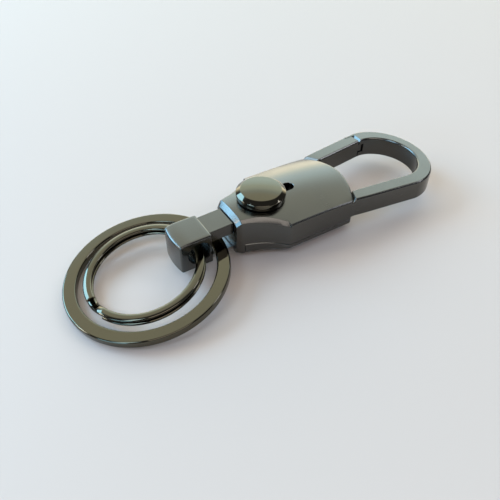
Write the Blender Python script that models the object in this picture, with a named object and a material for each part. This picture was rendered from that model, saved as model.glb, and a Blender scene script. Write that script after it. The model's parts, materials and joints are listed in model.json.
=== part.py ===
"""Carabiner keychain with a quick release slide, an outer ring and an inner split ring.

Metres, +Z up. The carabiner is modelled in its own frame: x runs from the neck's end face (x = 0) towards the
loop, y across, z up from the middle of the body. The parent empty then pitches it so that the rings and the body
lie on the floor at z = 0.
"""

import math

import bmesh
import bpy
from mathutils import Matrix, Vector

# Clearances and cuts
fit_gap = 0.0003
overrun = 0.002
root_overlap = 0.0003

# Body
body_half_width = 0.0098
neck_half_width = 0.00435
body_shoulder_x = 0.0099
body_end_x = 0.0293
body_end_bulge = 0.0028
body_bulge_start_x = 0.0195
crown_top = 0.00507
crown_peak_x = 0.017
crown_neck_drop = 0.00052
crown_end_drop = 0.00041
crown_radius_across = 0.0262
underside_depth = 0.00505
underside_radius = 0.0282
seam_z = -0.00215
neck_chamfer = 0.0008
scoop_chamfer = 0.00095
side_chamfer = 0.00028
underside_chamfer = 0.00035
end_chamfer = 0.00022
scoop_steps = 8
scoop_bow_share = 0.13
scoop_skew_share = 0.45
shoulder_step = 0.00005
neck_face_chamfer = side_chamfer
plate_shares = (0.25, 0.5, 0.62, 0.74, 0.87)
crown_shares = (0.84, 0.62, 0.41, 0.2)

# Loop
loop_top = 0.0033
loop_bottom = -0.0016
loop_edge_radius = 0.0005
arm_groove_width = 0.00045
arm_groove_floor = 0.0023
arm_groove_flank = 0.00003
loop_step_out = 0.0001
loop_bar_width = 0.0031
loop_flare = 0.0023
loop_bend_width = 0.0036
loop_wide_x = 0.0435
loop_end_length = 0.0102
loop_end_width = 0.0027
loop_outer_start = body_half_width + loop_step_out
loop_outer_wide = loop_outer_start + loop_flare
loop_inner_start = loop_outer_start - loop_bar_width
loop_inner_wide = loop_outer_wide - loop_bend_width
loop_outer_end_x = loop_wide_x + loop_end_length
loop_inner_end_x = loop_outer_end_x - loop_end_width
loop_arm_steps = 4
loop_turn_steps = 20
nose_setback = 0.0003
nose_x = loop_wide_x - nose_setback
nose_slant = 0.00035
nose_lip_length = 0.0020
nose_lip_wall = 0.0009

# Gate
gate_pin_x = 0.0248
gate_pin_inset = 0.0022
gate_pin_y = body_half_width - gate_pin_inset
gate_pin_radius = 0.0005
gate_barrel_radius = 0.0012
gate_root_top = 0.0018
gate_lap_length = 0.0013
gate_lap_height = 0.0020
gate_lap_z = 0.0009
gate_lap_wall = 0.0010
gate_pocket_reach = 0.0043
gate_pocket_inner = gate_pin_y - gate_pocket_reach
gate_pocket_back_x = 0.0225
gate_pin_bite = 0.0010
gate_start_relief = 0.0005
gate_start_rise = 0.00035
gate_spring_x = 0.0275
gate_spring_z = 0.0001
gate_spring_radius = 0.00095
gate_spring_wire = 0.00016
gate_spring_turns = 4.2
gate_spring_seat_depth = 0.0025
gate_spring_seat_y = gate_pocket_inner - gate_spring_seat_depth
gate_spring_bore = 0.0014

# Inside of the body
roof_z = 0.0029
cavity_front_x = 0.0042
cavity_back_x = 0.0218
cavity_wall = 0.0049
cavity_half_width = body_half_width - cavity_wall
neck_wall = 0.0013
bolt_way_top = -0.0012
nut_pocket_floor = -0.0043

# Back cover
cover_front_x = 0.0019
cover_inset = 0.00012

# Eye hook
tongue_half_width = 0.00292
tongue_top = 0.00305
tongue_bottom = 0.00022
tongue_length = 0.0055
root_half_width = 0.0023
root_top = 0.0020
root_bottom = 0.0005
root_length = 0.0032
block_half_width = 0.00389
block_length = 0.00695
block_bulge = 0.00078
block_top = 0.00319
block_bottom = -0.0042
block_bevel = 0.00028
block_face_steps = 8
eye_x = -0.0085
eye_z = -0.00045
eye_radius = 0.0025
eye_segments = 40
hook_pin_x = 0.0019
hook_pin_radius = 0.00055
hook_pin_top = 0.0031

# Slide
knob_x = 0.0085
knob_radius = 0.00542
knob_flat_radius = 0.00452
knob_rim_height = 0.00095
knob_rim_steps = 5
knob_top_z = 0.00715
knob_dome = 0.00018
dome_shares = (0.6, 0.25)
knob_waist_radius = 0.00515
knob_skirt_z = 0.0043
knob_skirt_height = 0.0012
knob_lift = 0.00012
slide_travel = 0.0062
slot_width = 0.00245
slot_back_x = 0.00725
slot_end_x = 0.01682
stem_radius = 0.00088
stem_top = 0.0058
nut_radius = 0.0019
nut_height = 0.0010
carriage_length = 0.0066
carriage_front_x = 0.0053
carriage_play = 0.0004
carriage_half_width = cavity_half_width - carriage_play
carriage_top = 0.0026
carriage_bottom = -0.0012
carriage_bevel = 0.0003
bolt_tip_x = -0.0060
bolt_half_width = 0.0023
bolt_nose_top = -0.00372
bolt_nose_bottom = -0.0046
bolt_tail_top = -0.0015
bolt_tail_bottom = -0.0027
bolt_tail_end_x = 0.0114
bolt_step_x = 0.0016
bolt_step_length = 0.0016
bolt_bevel = 0.00018

# Bolt spring and its rod
bolt_spring_z = 0.0007
bolt_spring_radius = 0.0013
bolt_spring_wire = 0.00025
bolt_spring_turns = 7.0
coil_self_gap = 0.00043
spring_seat_depth = 0.0022
rod_radius = 0.0007
rod_free_x = 0.0166
rod_root_length = 0.0018

# Screws
screw_front_x = 0.0080
screw_front_inset = 0.0034
screw_front_y = body_half_width - screw_front_inset
screw_back_x = 0.0203
screw_back_inset = 0.0026
screw_back_y = body_half_width - screw_back_inset
screw_head_radius = 0.0014
screw_shank_radius = 0.00065
screw_cone_height = 0.0007
screw_tip_z = 0.0010
screw_sink = 0.00015
screw_slot_width = 0.0004
screw_slot_depth = 0.0003
screw_slot_length = 0.0018

# Outer ring
ring_radius = 0.0175
ring_band_width = 0.0028
ring_inner_radius = ring_radius - ring_band_width
ring_thickness = 0.0017
ring_edge_radius = 0.0004
ring_section_x = -0.00314
ring_section_z = -0.00216
ring_tilt_deg = 7.55
ring_pivot_z = -0.00165
ring_segments = 72

# Inner split ring
split_inset = 0.0028
split_radius = ring_inner_radius - split_inset
split_wire_width = 0.0018
split_wire_height = 0.0008
split_gap = 0.00042
split_edge_radius = 0.00034
split_section_x = -0.00785
split_section_z = -0.0011
split_tilt_deg = 10.6
split_turns = 2.0
split_end_deg = 192.0
split_cross_deg = 22.0
split_steps = 104

# Rest pose and smoothness
rest_pitch_deg = 2.15
sharp_angle_deg = 32.0
small_segments = 20
knob_segments = 44
spring_points_per_turn = 10
corner_steps = 3

# Colours, roughness and metal share of each finish
finishes = {
    "satin_nickel": ((0.105, 0.105, 0.098), 0.34, 1.0),
    "polished_nickel": ((0.16, 0.16, 0.15), 0.09, 1.0),
    "spring_steel": ((0.42, 0.42, 0.41), 0.30, 1.0),
    "plain_steel": ((0.33, 0.33, 0.32), 0.36, 1.0),
    "slide_polymer": ((0.02, 0.02, 0.022), 0.45, 0.0),
}


def clear_scene():
    for old in list(bpy.data.objects):
        bpy.data.objects.remove(old, do_unlink=True)


def finish(name):
    material = bpy.data.materials.get(name)
    if material is None:
        colour, roughness, metallic = finishes[name]
        material = bpy.data.materials.new(name)
        material.use_nodes = True
        shader = material.node_tree.nodes["Principled BSDF"]
        shader.inputs["Base Color"].default_value = (*colour, 1.0)
        shader.inputs["Roughness"].default_value = roughness
        shader.inputs["Metallic"].default_value = metallic
        material.diffuse_color = (*colour, 1.0)
    return material


def add_object(name, bm, origin, parent, look=None):
    """Makes an object from a bmesh in the carabiner's frame, with its origin at the given point."""
    bmesh.ops.remove_doubles(bm, verts=bm.verts, dist=1e-7)
    bmesh.ops.recalc_face_normals(bm, faces=bm.faces)
    bmesh.ops.translate(bm, verts=bm.verts, vec=-Vector(origin))
    mesh = bpy.data.meshes.new(name)
    bm.to_mesh(mesh)
    bm.free()
    obj = bpy.data.objects.new(name, mesh)
    bpy.context.scene.collection.objects.link(obj)
    obj.location = origin
    obj.parent = parent
    if look is not None:
        mesh.materials.append(finish(look))
        mesh.shade_smooth()
        mesh.set_sharp_from_angle(angle=math.radians(sharp_angle_deg))
    return obj


def hide_helper(obj):
    obj.hide_render = True
    obj.display_type = "WIRE"


def boolean(target, other, operation):
    modifier = target.modifiers.new(f"{operation.lower()}_{other.name}", "BOOLEAN")
    modifier.operation = operation
    modifier.solver = "EXACT"
    modifier.object = other
    hide_helper(other)


def skin(bm, rings, closed_ends=True, closed_loop=False, flank=0):
    """Joins rings of equal numbers of points with quads and, where asked, closes both ends."""
    rows = [[bm.verts.new(point) for point in ring] for ring in rings]
    count = len(rows[0])
    pairs = list(zip(rows, rows[1:]))
    if closed_loop:
        pairs.append((rows[-1], rows[0]))
    for first, second in pairs:
        for i in range(count):
            j = (i + 1) % count
            bm.faces.new((first[i], first[j], second[j], second[i]))
    if flank:
        strip_end(bm, rows[0], flank)
        strip_end(bm, rows[-1], flank)
    elif closed_ends and not closed_loop:
        bm.faces.new(rows[0][::-1])
        bm.faces.new(rows[-1])
    return bm


def strip_end(bm, row, flank):
    """Closes an end with upright strips from the curved side to the flat one, and with a fan at each flank.

    The ring starts with the points of one flank. The curved side, the other flank and the flat side follow.
    """
    strips = len(row) // 2 - flank
    for k in range(strips):
        bm.faces.new((row[flank - 1 + k], row[flank + k], row[-k - 2], row[-k - 1]))
    far = flank + strips - 1
    for i in range(flank - 1):
        bm.faces.new((row[-1], row[i], row[i + 1]))
        bm.faces.new((row[far + flank], row[far + i], row[far + i + 1]))


def box(x_from, x_to, y_from, y_to, z_from, z_to):
    bm = bmesh.new()
    bmesh.ops.create_cube(bm, size=1.0)
    size = (x_to - x_from, y_to - y_from, z_to - z_from)
    middle = ((x_from + x_to) / 2, (y_from + y_to) / 2, (z_from + z_to) / 2)
    bmesh.ops.scale(bm, verts=bm.verts, vec=size)
    bmesh.ops.translate(bm, verts=bm.verts, vec=middle)
    return bm


def bevel_edges(bm, width, segments=1, wanted=None):
    edges = [edge for edge in bm.edges if wanted is None or wanted(edge)]
    bmesh.ops.bevel(bm, geom=edges, offset=width, segments=segments, affect="EDGES", clamp_overlap=True)
    return bm


def prism(outline, z_from, z_to):
    """A vertical prism over a plan outline."""
    bm = bmesh.new()
    return skin(bm, [[(x, y, z) for x, y in outline] for z in (z_from, z_to)])


def prism_along_x(outline, x_from, x_to):
    """A prism along x over an outline in y and z."""
    bm = bmesh.new()
    return skin(bm, [[(x, y, z) for y, z in outline] for x in (x_from, x_to)])


def prism_along_y(outline, y_from, y_to):
    """A prism along y over an outline in x and z."""
    bm = bmesh.new()
    return skin(bm, [[(x, y, z) for x, z in outline] for y in (y_from, y_to)])


def turned(profile, centre, segments, axis="Z"):
    """A solid of revolution from (radius, height) points that start and end on the axis."""
    bm = bmesh.new()
    rows = []
    for radius, height in profile[1:-1]:
        rows.append([
            (radius * math.cos(angle), radius * math.sin(angle), height)
            for angle in (2 * math.pi * i / segments for i in range(segments))
        ])
    skin(bm, rows)
    if axis == "X":
        bmesh.ops.rotate(bm, verts=bm.verts, matrix=Matrix.Rotation(math.pi / 2, 3, "Y"))
    if axis == "Y":
        bmesh.ops.rotate(bm, verts=bm.verts, matrix=Matrix.Rotation(-math.pi / 2, 3, "X"))
    bmesh.ops.translate(bm, verts=bm.verts, vec=centre)
    return bm


def rod(centre, radius, length, axis="Z", segments=small_segments, chamfer=0.0):
    """A round bar that starts at the centre and runs along the axis."""
    profile = [(0.0, 0.0), (radius - chamfer, 0.0)]
    if chamfer:
        profile += [(radius, chamfer), (radius, length - chamfer)]
    profile += [(radius - chamfer, length), (0.0, length)]
    return turned(profile, centre, segments, axis)


def tube_along(points, radius, sides):
    """One unbroken round tube along a list of points."""
    bm = bmesh.new()
    rings = []
    for i, point in enumerate(points):
        ahead = points[min(i + 1, len(points) - 1)] - points[max(i - 1, 0)]
        ahead.normalize()
        across = ahead.cross(tube_up(ahead)).normalized()
        other = across.cross(ahead).normalized()
        rings.append([
            point + radius * (math.cos(turn) * across + math.sin(turn) * other)
            for turn in (2 * math.pi * k / sides for k in range(sides))
        ])
    return skin(bm, rings)


def tube_up(ahead):
    return Vector((1, 0, 0)) if abs(ahead.x) < 0.9 else Vector((0, 1, 0))


def coil(start, axis, length, radius, wire_radius, turns):
    """A compression spring with a flat turn at each end, its axis along x or y."""
    ends = 1.0
    steps = int((turns + 2 * ends) * spring_points_per_turn)
    first = 2 * wire_radius + coil_self_gap
    points = []
    for i in range(steps + 1):
        turn = (turns + 2 * ends) * i / steps
        if turn < ends:
            along = first * turn / ends
        elif turn > turns + ends:
            along = length - first * (turns + 2 * ends - turn) / ends
        else:
            along = first + (length - 2 * first) * (turn - ends) / turns
        angle = 2 * math.pi * turn
        side, up = radius * math.cos(angle), radius * math.sin(angle)
        if axis == "X":
            points.append(Vector(start) + Vector((along, side, up)))
        else:
            points.append(Vector(start) + Vector((side, along, up)))
    return tube_along(points, wire_radius, 6), points


def report_self_gap(name, points, wire_width, per_turn):
    """Prints the least distance between neighbouring turns of a wound piece."""
    least = min(
        (points[i] - points[j]).length
        for i in range(len(points))
        for j in range(i + int(per_turn * 0.6), min(i + int(per_turn * 1.5), len(points)))
    )
    print(f"{name}: least gap between turns {1000 * (least - wire_width):.3f} mm")


# The body's surface

def scoop_half_width(x):
    """Half the body's width at x: the neck, the hollow scoop and then the full width."""
    if x >= body_shoulder_x:
        return body_half_width
    share = x / body_shoulder_x
    straight = neck_half_width + (body_half_width - neck_half_width) * share
    skew = 1 - scoop_skew_share * (1 - share)
    return straight - scoop_bow_share * body_half_width * math.sin(math.pi * share) * skew


def crown_z(x, y):
    """Height of the crowned top plate, which falls away to the neck, to the plate's end and to both sides."""
    if x < crown_peak_x:
        drop = crown_neck_drop * ((crown_peak_x - x) / crown_peak_x) ** 3
    else:
        drop = crown_end_drop * ((x - crown_peak_x) / (body_end_x - crown_peak_x)) ** 2
    return crown_top - drop - y ** 2 / (2 * crown_radius_across)


def underside_z(y):
    return -underside_depth + y ** 2 / (2 * underside_radius)


def bulged_x(x, y):
    """The plate's end is an arc, and the stations near it bend with it."""
    if x <= body_bulge_start_x:
        return x
    share = (x - body_bulge_start_x) / (body_end_x - body_bulge_start_x)
    return x - share * body_end_bulge * (y / body_half_width) ** 2


def end_arc_x(y):
    return bulged_x(body_end_x, y)


def stations():
    """Station x, half width, top chamfer and drop of the top for the body's shell."""
    rows = [(0.0, neck_half_width - neck_chamfer, neck_face_chamfer, neck_chamfer)]
    rows.append((neck_chamfer, scoop_half_width(neck_chamfer), scoop_chamfer, 0.0))
    for i in range(1, scoop_steps + 1):
        x = neck_chamfer + (body_shoulder_x - neck_chamfer) * i / scoop_steps
        rows.append((x, scoop_half_width(x), scoop_chamfer, 0.0))
    rows.append((body_shoulder_x + shoulder_step, body_half_width, side_chamfer, 0.0))
    for share in plate_shares:
        x = body_shoulder_x + (body_end_x - body_shoulder_x) * share
        rows.append((x, body_half_width, side_chamfer, 0.0))
    rows.append((body_end_x - end_chamfer, body_half_width, side_chamfer, 0.0))
    rows.append((body_end_x, body_half_width - end_chamfer, side_chamfer, end_chamfer))
    return rows


def even_shares(shares):
    """The given shares on both sides of the middle, from the negative edge to the positive one."""
    return [-1.0] + [-share for share in shares] + [0.0] + list(shares[::-1]) + [1.0]


def upper_ring(x, half_width, chamfer, drop):
    """One closed cross section of the casting, from the seam up over the crown."""
    side = half_width - chamfer
    edge = crown_z(x, side) - drop
    half = [
        (half_width - side_chamfer / 2, seam_z),
        (half_width, seam_z + side_chamfer / 2),
        (half_width, edge - chamfer),
        (side, edge),
    ]
    half += [(side * share, crown_z(x, side * share) - drop) for share in crown_shares]
    left = [(-y, z) for y, z in half]
    flat = [(side * share, seam_z) for share in even_shares(crown_shares)]
    return [
        (bulged_x(x, y), y, z)
        for y, z in half + [(0.0, crown_z(x, 0.0) - drop)] + left[::-1] + flat
    ]


def lower_ring(x, half_width, top_z):
    """One closed cross section of the underside, from its crown up to the seam."""
    half_width -= cover_inset
    side = half_width - underside_chamfer
    half = [
        (half_width, top_z),
        (half_width, underside_z(side) + underside_chamfer),
        (side, underside_z(side)),
    ]
    half += [(side * share, underside_z(side * share)) for share in crown_shares[::2]]
    left = [(-y, z) for y, z in half]
    flat = [(side * share, top_z) for share in even_shares(crown_shares[::2])]
    return [
        (bulged_x(x, y), y, z)
        for y, z in half + [(0.0, underside_z(0.0))] + left[::-1] + flat
    ]


# The loop and the gate

def loop_outer_y(x):
    share = (x - body_end_x + body_end_bulge) / (loop_wide_x - body_end_x + body_end_bulge)
    return loop_outer_start + (loop_outer_wide - loop_outer_start) * min(share, 1.0)


def loop_inner_y(x):
    share = (x - body_end_x) / (loop_wide_x - body_end_x)
    return loop_inner_start + (loop_inner_wide - loop_inner_start) * min(share, 1.0)


def bar_ring(outer, inner, top=loop_top, bottom=loop_bottom, edge=loop_edge_radius):
    """A rounded section between an outer and an inner plan point."""
    outer, inner = Vector((*outer, 0.0)), Vector((*inner, 0.0))
    width = (outer - inner).length
    across = (outer - inner) / width
    ring = []
    corners = ((width - edge, top - edge, 0.0), (edge, top - edge, 90.0),
               (edge, bottom + edge, 180.0), (width - edge, bottom + edge, 270.0))
    for middle, height, start in corners:
        for k in range(corner_steps):
            angle = math.radians(start + 90.0 * k / (corner_steps - 1))
            point = inner + across * (middle + edge * math.cos(angle))
            ring.append((point.x, point.y, height + edge * math.sin(angle)))
    return ring


def arm_start(side, gap):
    """Plan points, outer and inner, where an arm meets the arc at the plate's end."""
    return [(end_arc_x(y) + gap, side * y) for y in (loop_outer_start, loop_inner_start)]


def loop_rings():
    rings = [bar_ring(*arm_start(-1, -root_overlap), top=arm_groove_floor),
             bar_ring(*arm_start(-1, arm_groove_width), top=arm_groove_floor),
             bar_ring(*arm_start(-1, arm_groove_width + arm_groove_flank))]
    first_x = body_end_x
    for i in range(1, loop_arm_steps + 1):
        x = first_x + (loop_wide_x - first_x) * i / loop_arm_steps
        rings.append(bar_ring((x, -loop_outer_y(x)), (x, -loop_inner_y(x))))
    for i in range(1, loop_turn_steps):
        angle = -math.pi / 2 + math.pi * i / loop_turn_steps
        outer = (loop_wide_x + (loop_outer_end_x - loop_wide_x) * math.cos(angle), loop_outer_wide * math.sin(angle))
        inner = (loop_wide_x + (loop_inner_end_x - loop_wide_x) * math.cos(angle), loop_inner_wide * math.sin(angle))
        rings.append(bar_ring(outer, inner))
    lip_x = nose_x - nose_lip_length
    rings.append(bar_ring((nose_x, loop_outer_y(nose_x)), (nose_x, loop_inner_y(nose_x))))
    rings.append(bar_ring((lip_x - nose_slant, loop_outer_y(lip_x)), (lip_x, loop_inner_y(lip_x))))
    return rings


def make_hook_body(parent):
    body = bmesh.new()
    skin(body, [upper_ring(*row) for row in stations()], flank=4)
    origin = (crown_peak_x, 0.0, 0.0)
    body = add_object("hook_body", body, origin, parent, "satin_nickel")

    # The neck's front wall reaches down to the underside and carries the mouth for the bolt
    front = bmesh.new()
    rows = [(0.0, neck_half_width - neck_chamfer), (neck_chamfer, scoop_half_width(neck_chamfer)),
            (neck_wall + fit_gap, scoop_half_width(neck_wall + fit_gap))]
    skin(front, [lower_ring(x, half + cover_inset, seam_z + root_overlap) for x, half in rows], flank=3)
    boolean(body, add_object("neck_front_wall", front, origin, parent), "UNION")

    cutters = {
        "carriage_bay": box(cavity_front_x, cavity_back_x, -cavity_half_width, cavity_half_width,
                            seam_z - overrun, roof_z),
        "bolt_bay": box(neck_wall, cavity_front_x + overrun, -bolt_half_width - fit_gap, bolt_half_width + fit_gap,
                        -underside_depth - overrun, bolt_way_top),
        "bolt_mouth": box(-overrun, neck_wall + overrun, -bolt_half_width - fit_gap, bolt_half_width + fit_gap,
                          -underside_depth - overrun, bolt_nose_top + fit_gap),
        "hook_root_bay": box(-overrun, root_length + fit_gap, -root_half_width - fit_gap, root_half_width + fit_gap,
                             root_bottom - fit_gap, root_top + fit_gap),
        "hook_pin_bore": rod((hook_pin_x, 0.0, bolt_way_top - overrun), hook_pin_radius + fit_gap,
                             hook_pin_top + fit_gap - bolt_way_top + overrun),
        "knob_slot": slot_prism(),
        "gate_pin_bore": rod((gate_pin_x, gate_pin_y, seam_z - overrun), gate_pin_radius + fit_gap,
                             gate_root_top + 2 * fit_gap + gate_pin_bite - seam_z + overrun),
        "gate_spring_bore": rod((gate_spring_x, gate_spring_seat_y, gate_spring_z), gate_spring_bore,
                                gate_pocket_inner + overrun - gate_spring_seat_y, "Y"),
        "gate_pocket": prism(gate_pocket_outline(), loop_bottom - fit_gap, gate_root_top + fit_gap),
        "rod_bore": rod((cavity_back_x - overrun, 0.0, bolt_spring_z), rod_radius + fit_gap,
                        overrun + rod_root_length + fit_gap, "X"),
    }
    for spot, (x, y) in enumerate(screw_places(), 1):
        cutters[f"screw_bore_{spot}"] = rod((x, y, seam_z - overrun), screw_shank_radius + fit_gap,
                                            screw_tip_z + fit_gap - seam_z + overrun, segments=14)
    for name, bm in cutters.items():
        boolean(body, add_object(name, bm, origin, parent), "DIFFERENCE")

    loop = add_object("loop_bar", skin(bmesh.new(), loop_rings()), origin, parent)
    boolean(loop, add_object("nose_notch", nose_notch(), origin, parent), "DIFFERENCE")
    boolean(loop, add_object("nose_slot", nose_slot(), origin, parent), "DIFFERENCE")
    boolean(body, loop, "UNION")
    return body


def slot_prism():
    """The slot in the top plate for the stem, round at both ends."""
    half = slot_width / 2
    outline = []
    for middle, start in ((slot_end_x - half, -90.0), (slot_back_x + half, 90.0)):
        for i in range(9):
            angle = math.radians(start + 180.0 * i / 8)
            outline.append((middle + half * math.cos(angle), half * math.sin(angle)))
    return prism(outline, roof_z - overrun, crown_top + overrun)


def gate_pocket_outline():
    outer = gate_root_outer() + fit_gap
    front = body_end_x + overrun
    return [(gate_pocket_back_x, gate_pocket_inner), (front, gate_pocket_inner), (front, outer),
            (gate_pocket_back_x, outer)]


def nose_lip_inner_y():
    return loop_outer_y(nose_x) - nose_lip_wall


def nose_notch():
    """Clears the gate's place inside the lip that the nose keeps on its outer side, against which the gate shuts."""
    back, front = nose_x - nose_lip_length - overrun, nose_x
    inner = loop_inner_y(nose_x) - overrun
    outline = [(back, inner), (front, inner), (front, nose_lip_inner_y()), (back, nose_lip_inner_y())]
    return prism(outline, loop_bottom - overrun, loop_top + overrun)


def nose_slot():
    """The slot in the loop's nose, open towards the gate and the inside of the loop."""
    deep = nose_x + gate_lap_length + 2 * fit_gap
    outer = loop_outer_y(nose_x) - gate_lap_wall
    outline = [(nose_x - overrun, loop_inner_y(nose_x) - overrun), (deep, loop_inner_y(nose_x) - overrun),
               (deep, outer), (nose_x - overrun, outer)]
    half = gate_lap_height / 2 + fit_gap
    return prism(outline, gate_lap_z - half, gate_lap_z + half)


def make_gate(parent):
    origin = (gate_pin_x, gate_pin_y, 0.0)
    bar = bmesh.new()
    rings = [bar_ring(*gate_start(0.0), top=gate_root_top), bar_ring(*gate_start(gate_start_rise))]
    tip_x = nose_x - fit_gap
    for i in range(loop_arm_steps + 1):
        x = body_end_x + (tip_x - body_end_x) * i / loop_arm_steps
        slant = nose_slant if i == loop_arm_steps else 0.0
        if i:
            rings.append(bar_ring((x - slant, loop_outer_y(x)), (x, loop_inner_y(x))))
    skin(bar, rings)
    gate = add_object("gate", bar, origin, parent, "satin_nickel")

    # The root runs into the pocket and ends in a barrel round the pin
    barrel_steps = 10
    root = [(body_end_x, loop_inner_start), (body_end_x, gate_root_outer())]
    for i in range(barrel_steps + 1):
        angle = math.radians(90.0 + 190.0 * i / barrel_steps)
        root.append((gate_pin_x + gate_barrel_radius * math.cos(angle),
                     gate_pin_y + gate_barrel_radius * math.sin(angle)))
    root = prism(root, loop_bottom, gate_root_top)
    boolean(gate, add_object("gate_root", root, origin, parent), "UNION")

    lap_outer = loop_outer_y(nose_x) - gate_lap_wall - fit_gap
    lap_inner = loop_inner_y(nose_x) + loop_edge_radius
    lap = box(tip_x - gate_lap_length, nose_x + gate_lap_length, lap_inner, lap_outer,
              gate_lap_z - gate_lap_height / 2, gate_lap_z + gate_lap_height / 2)
    boolean(gate, add_object("gate_lap", lap, origin, parent), "UNION")

    rebate = box(nose_x - nose_lip_length - nose_slant - fit_gap, nose_x + overrun, nose_lip_inner_y() - fit_gap,
                 loop_outer_wide + overrun, loop_bottom - overrun, loop_top + overrun)
    boolean(gate, add_object("lip_rebate", rebate, origin, parent), "DIFFERENCE")
    bore = rod((gate_pin_x, gate_pin_y, loop_bottom - overrun), gate_pin_radius + fit_gap,
               gate_root_top - loop_bottom + 2 * overrun)
    boolean(gate, add_object("gate_bore", bore, origin, parent), "DIFFERENCE")
    return gate


def gate_start(rise):
    """Plan points of the gate's start, cut back on the inner side so that it clears the plate as it swings."""
    (outer_x, outer_y), (inner_x, inner_y) = arm_start(1, arm_groove_width + rise)
    return (outer_x, outer_y), (inner_x + gate_start_relief, inner_y)


def gate_root_outer():
    return gate_pin_y + gate_barrel_radius


def make_back_cover(parent):
    origin = (crown_peak_x, 0.0, seam_z)
    rows = [row for row in stations() if row[0] > cover_front_x]
    front = (cover_front_x, scoop_half_width(cover_front_x))
    rings = [lower_ring(*front, seam_z - fit_gap)]
    rings += [lower_ring(x, half, seam_z - fit_gap) for x, half, _, _ in rows]
    cover = add_object("back_cover", skin(bmesh.new(), rings, flank=3), origin, parent, "satin_nickel")
    side = bolt_half_width + fit_gap
    slot_end = bolt_step_x + bolt_step_length / 2 + slide_travel + 2 * fit_gap
    cutters = {
        "cover_bolt_slot": box(cover_front_x - overrun, slot_end, -side, side,
                               -underside_depth - overrun, seam_z + overrun),
        "cover_nut_pocket": box(slot_end - overrun, bolt_tail_end_x + slide_travel + fit_gap, -side, side,
                                nut_pocket_floor, seam_z + overrun),
    }
    for spot, (x, y) in enumerate(screw_places(), 1):
        cutters[f"countersink_{spot}"] = turned(
            [(0.0, 0.0), (screw_head_radius + fit_gap, 0.0),
             (screw_head_radius + fit_gap, overrun),
             (screw_shank_radius + fit_gap, overrun + screw_cone_height),
             (screw_shank_radius + fit_gap, 3 * overrun), (0.0, 3 * overrun)],
            (x, y, screw_face_z(y) - overrun), small_segments)
    for name, bm in cutters.items():
        boolean(cover, add_object(name, bm, origin, parent), "DIFFERENCE")
    return cover


def screw_places():
    return [(screw_front_x, screw_front_y), (screw_front_x, -screw_front_y),
            (screw_back_x, screw_back_y), (screw_back_x, -screw_back_y)]


def screw_face_z(y):
    return underside_z(abs(y) + screw_head_radius) + screw_sink


def make_screws(parent):
    for spot, (x, y) in enumerate(screw_places(), 1):
        face = screw_face_z(y)
        screw = turned(
            [(0.0, 0.0), (screw_head_radius, 0.0), (screw_shank_radius, screw_cone_height),
             (screw_shank_radius, screw_tip_z - face), (0.0, screw_tip_z - face)],
            (x, y, face), small_segments)
        screw = add_object(f"cover_screw_{spot}", screw, (x, y, face), parent, "plain_steel")
        for turn, (long_x, long_y) in enumerate(((1, 0), (0, 1))):
            half_x = (screw_slot_length if long_x else screw_slot_width) / 2
            half_y = (screw_slot_length if long_y else screw_slot_width) / 2
            recess = box(x - half_x, x + half_x, y - half_y, y + half_y, face - overrun, face + screw_slot_depth)
            boolean(screw, add_object(f"driver_{spot}_{turn}", recess, (x, y, face), parent), "DIFFERENCE")


def make_eye_hook(parent):
    origin = (-tongue_length, 0.0, 0.0)
    back = -tongue_length
    front = back - block_length
    outline = [(back, -block_half_width), (back, block_half_width)]
    for i in range(block_face_steps + 1):
        share = 1 - 2 * i / block_face_steps
        outline.append((front - block_bulge * (1 - share ** 2), block_half_width * share))
    block = prism(outline, block_bottom, block_top)
    bevel_edges(block, block_bevel, 2, lambda edge: edge.calc_face_angle(0.0) > math.radians(40))
    hook = add_object("eye_hook", block, origin, parent, "satin_nickel")
    tongue = box(back - block_length / 3, -fit_gap, -tongue_half_width, tongue_half_width, tongue_bottom, tongue_top)
    bevel_edges(tongue, block_bevel / 2)
    boolean(hook, add_object("tongue_bar", tongue, origin, parent), "UNION")
    root = box(-fit_gap * 3, root_length, -root_half_width, root_half_width, root_bottom, root_top)
    boolean(hook, add_object("tongue_root", root, origin, parent), "UNION")
    eye = rod((eye_x, -block_half_width - overrun, eye_z), eye_radius, 2 * (block_half_width + overrun), "Y",
              eye_segments)
    boolean(hook, add_object("eye_bore", eye, origin, parent), "DIFFERENCE")
    notch = box(bolt_tip_x - fit_gap, back + overrun, -bolt_half_width - fit_gap, bolt_half_width + fit_gap,
                block_bottom - overrun, bolt_nose_top + fit_gap)
    boolean(hook, add_object("bolt_notch", notch, origin, parent), "DIFFERENCE")
    bore = rod((hook_pin_x, 0.0, root_bottom - overrun), hook_pin_radius + fit_gap,
               root_top - root_bottom + 2 * overrun)
    boolean(hook, add_object("root_bore", bore, origin, parent), "DIFFERENCE")
    pin = rod((hook_pin_x, 0.0, bolt_way_top + fit_gap), hook_pin_radius, hook_pin_top - bolt_way_top - fit_gap)
    add_object("hook_pin", pin, (hook_pin_x, 0.0, 0.0), parent, "plain_steel")


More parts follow.
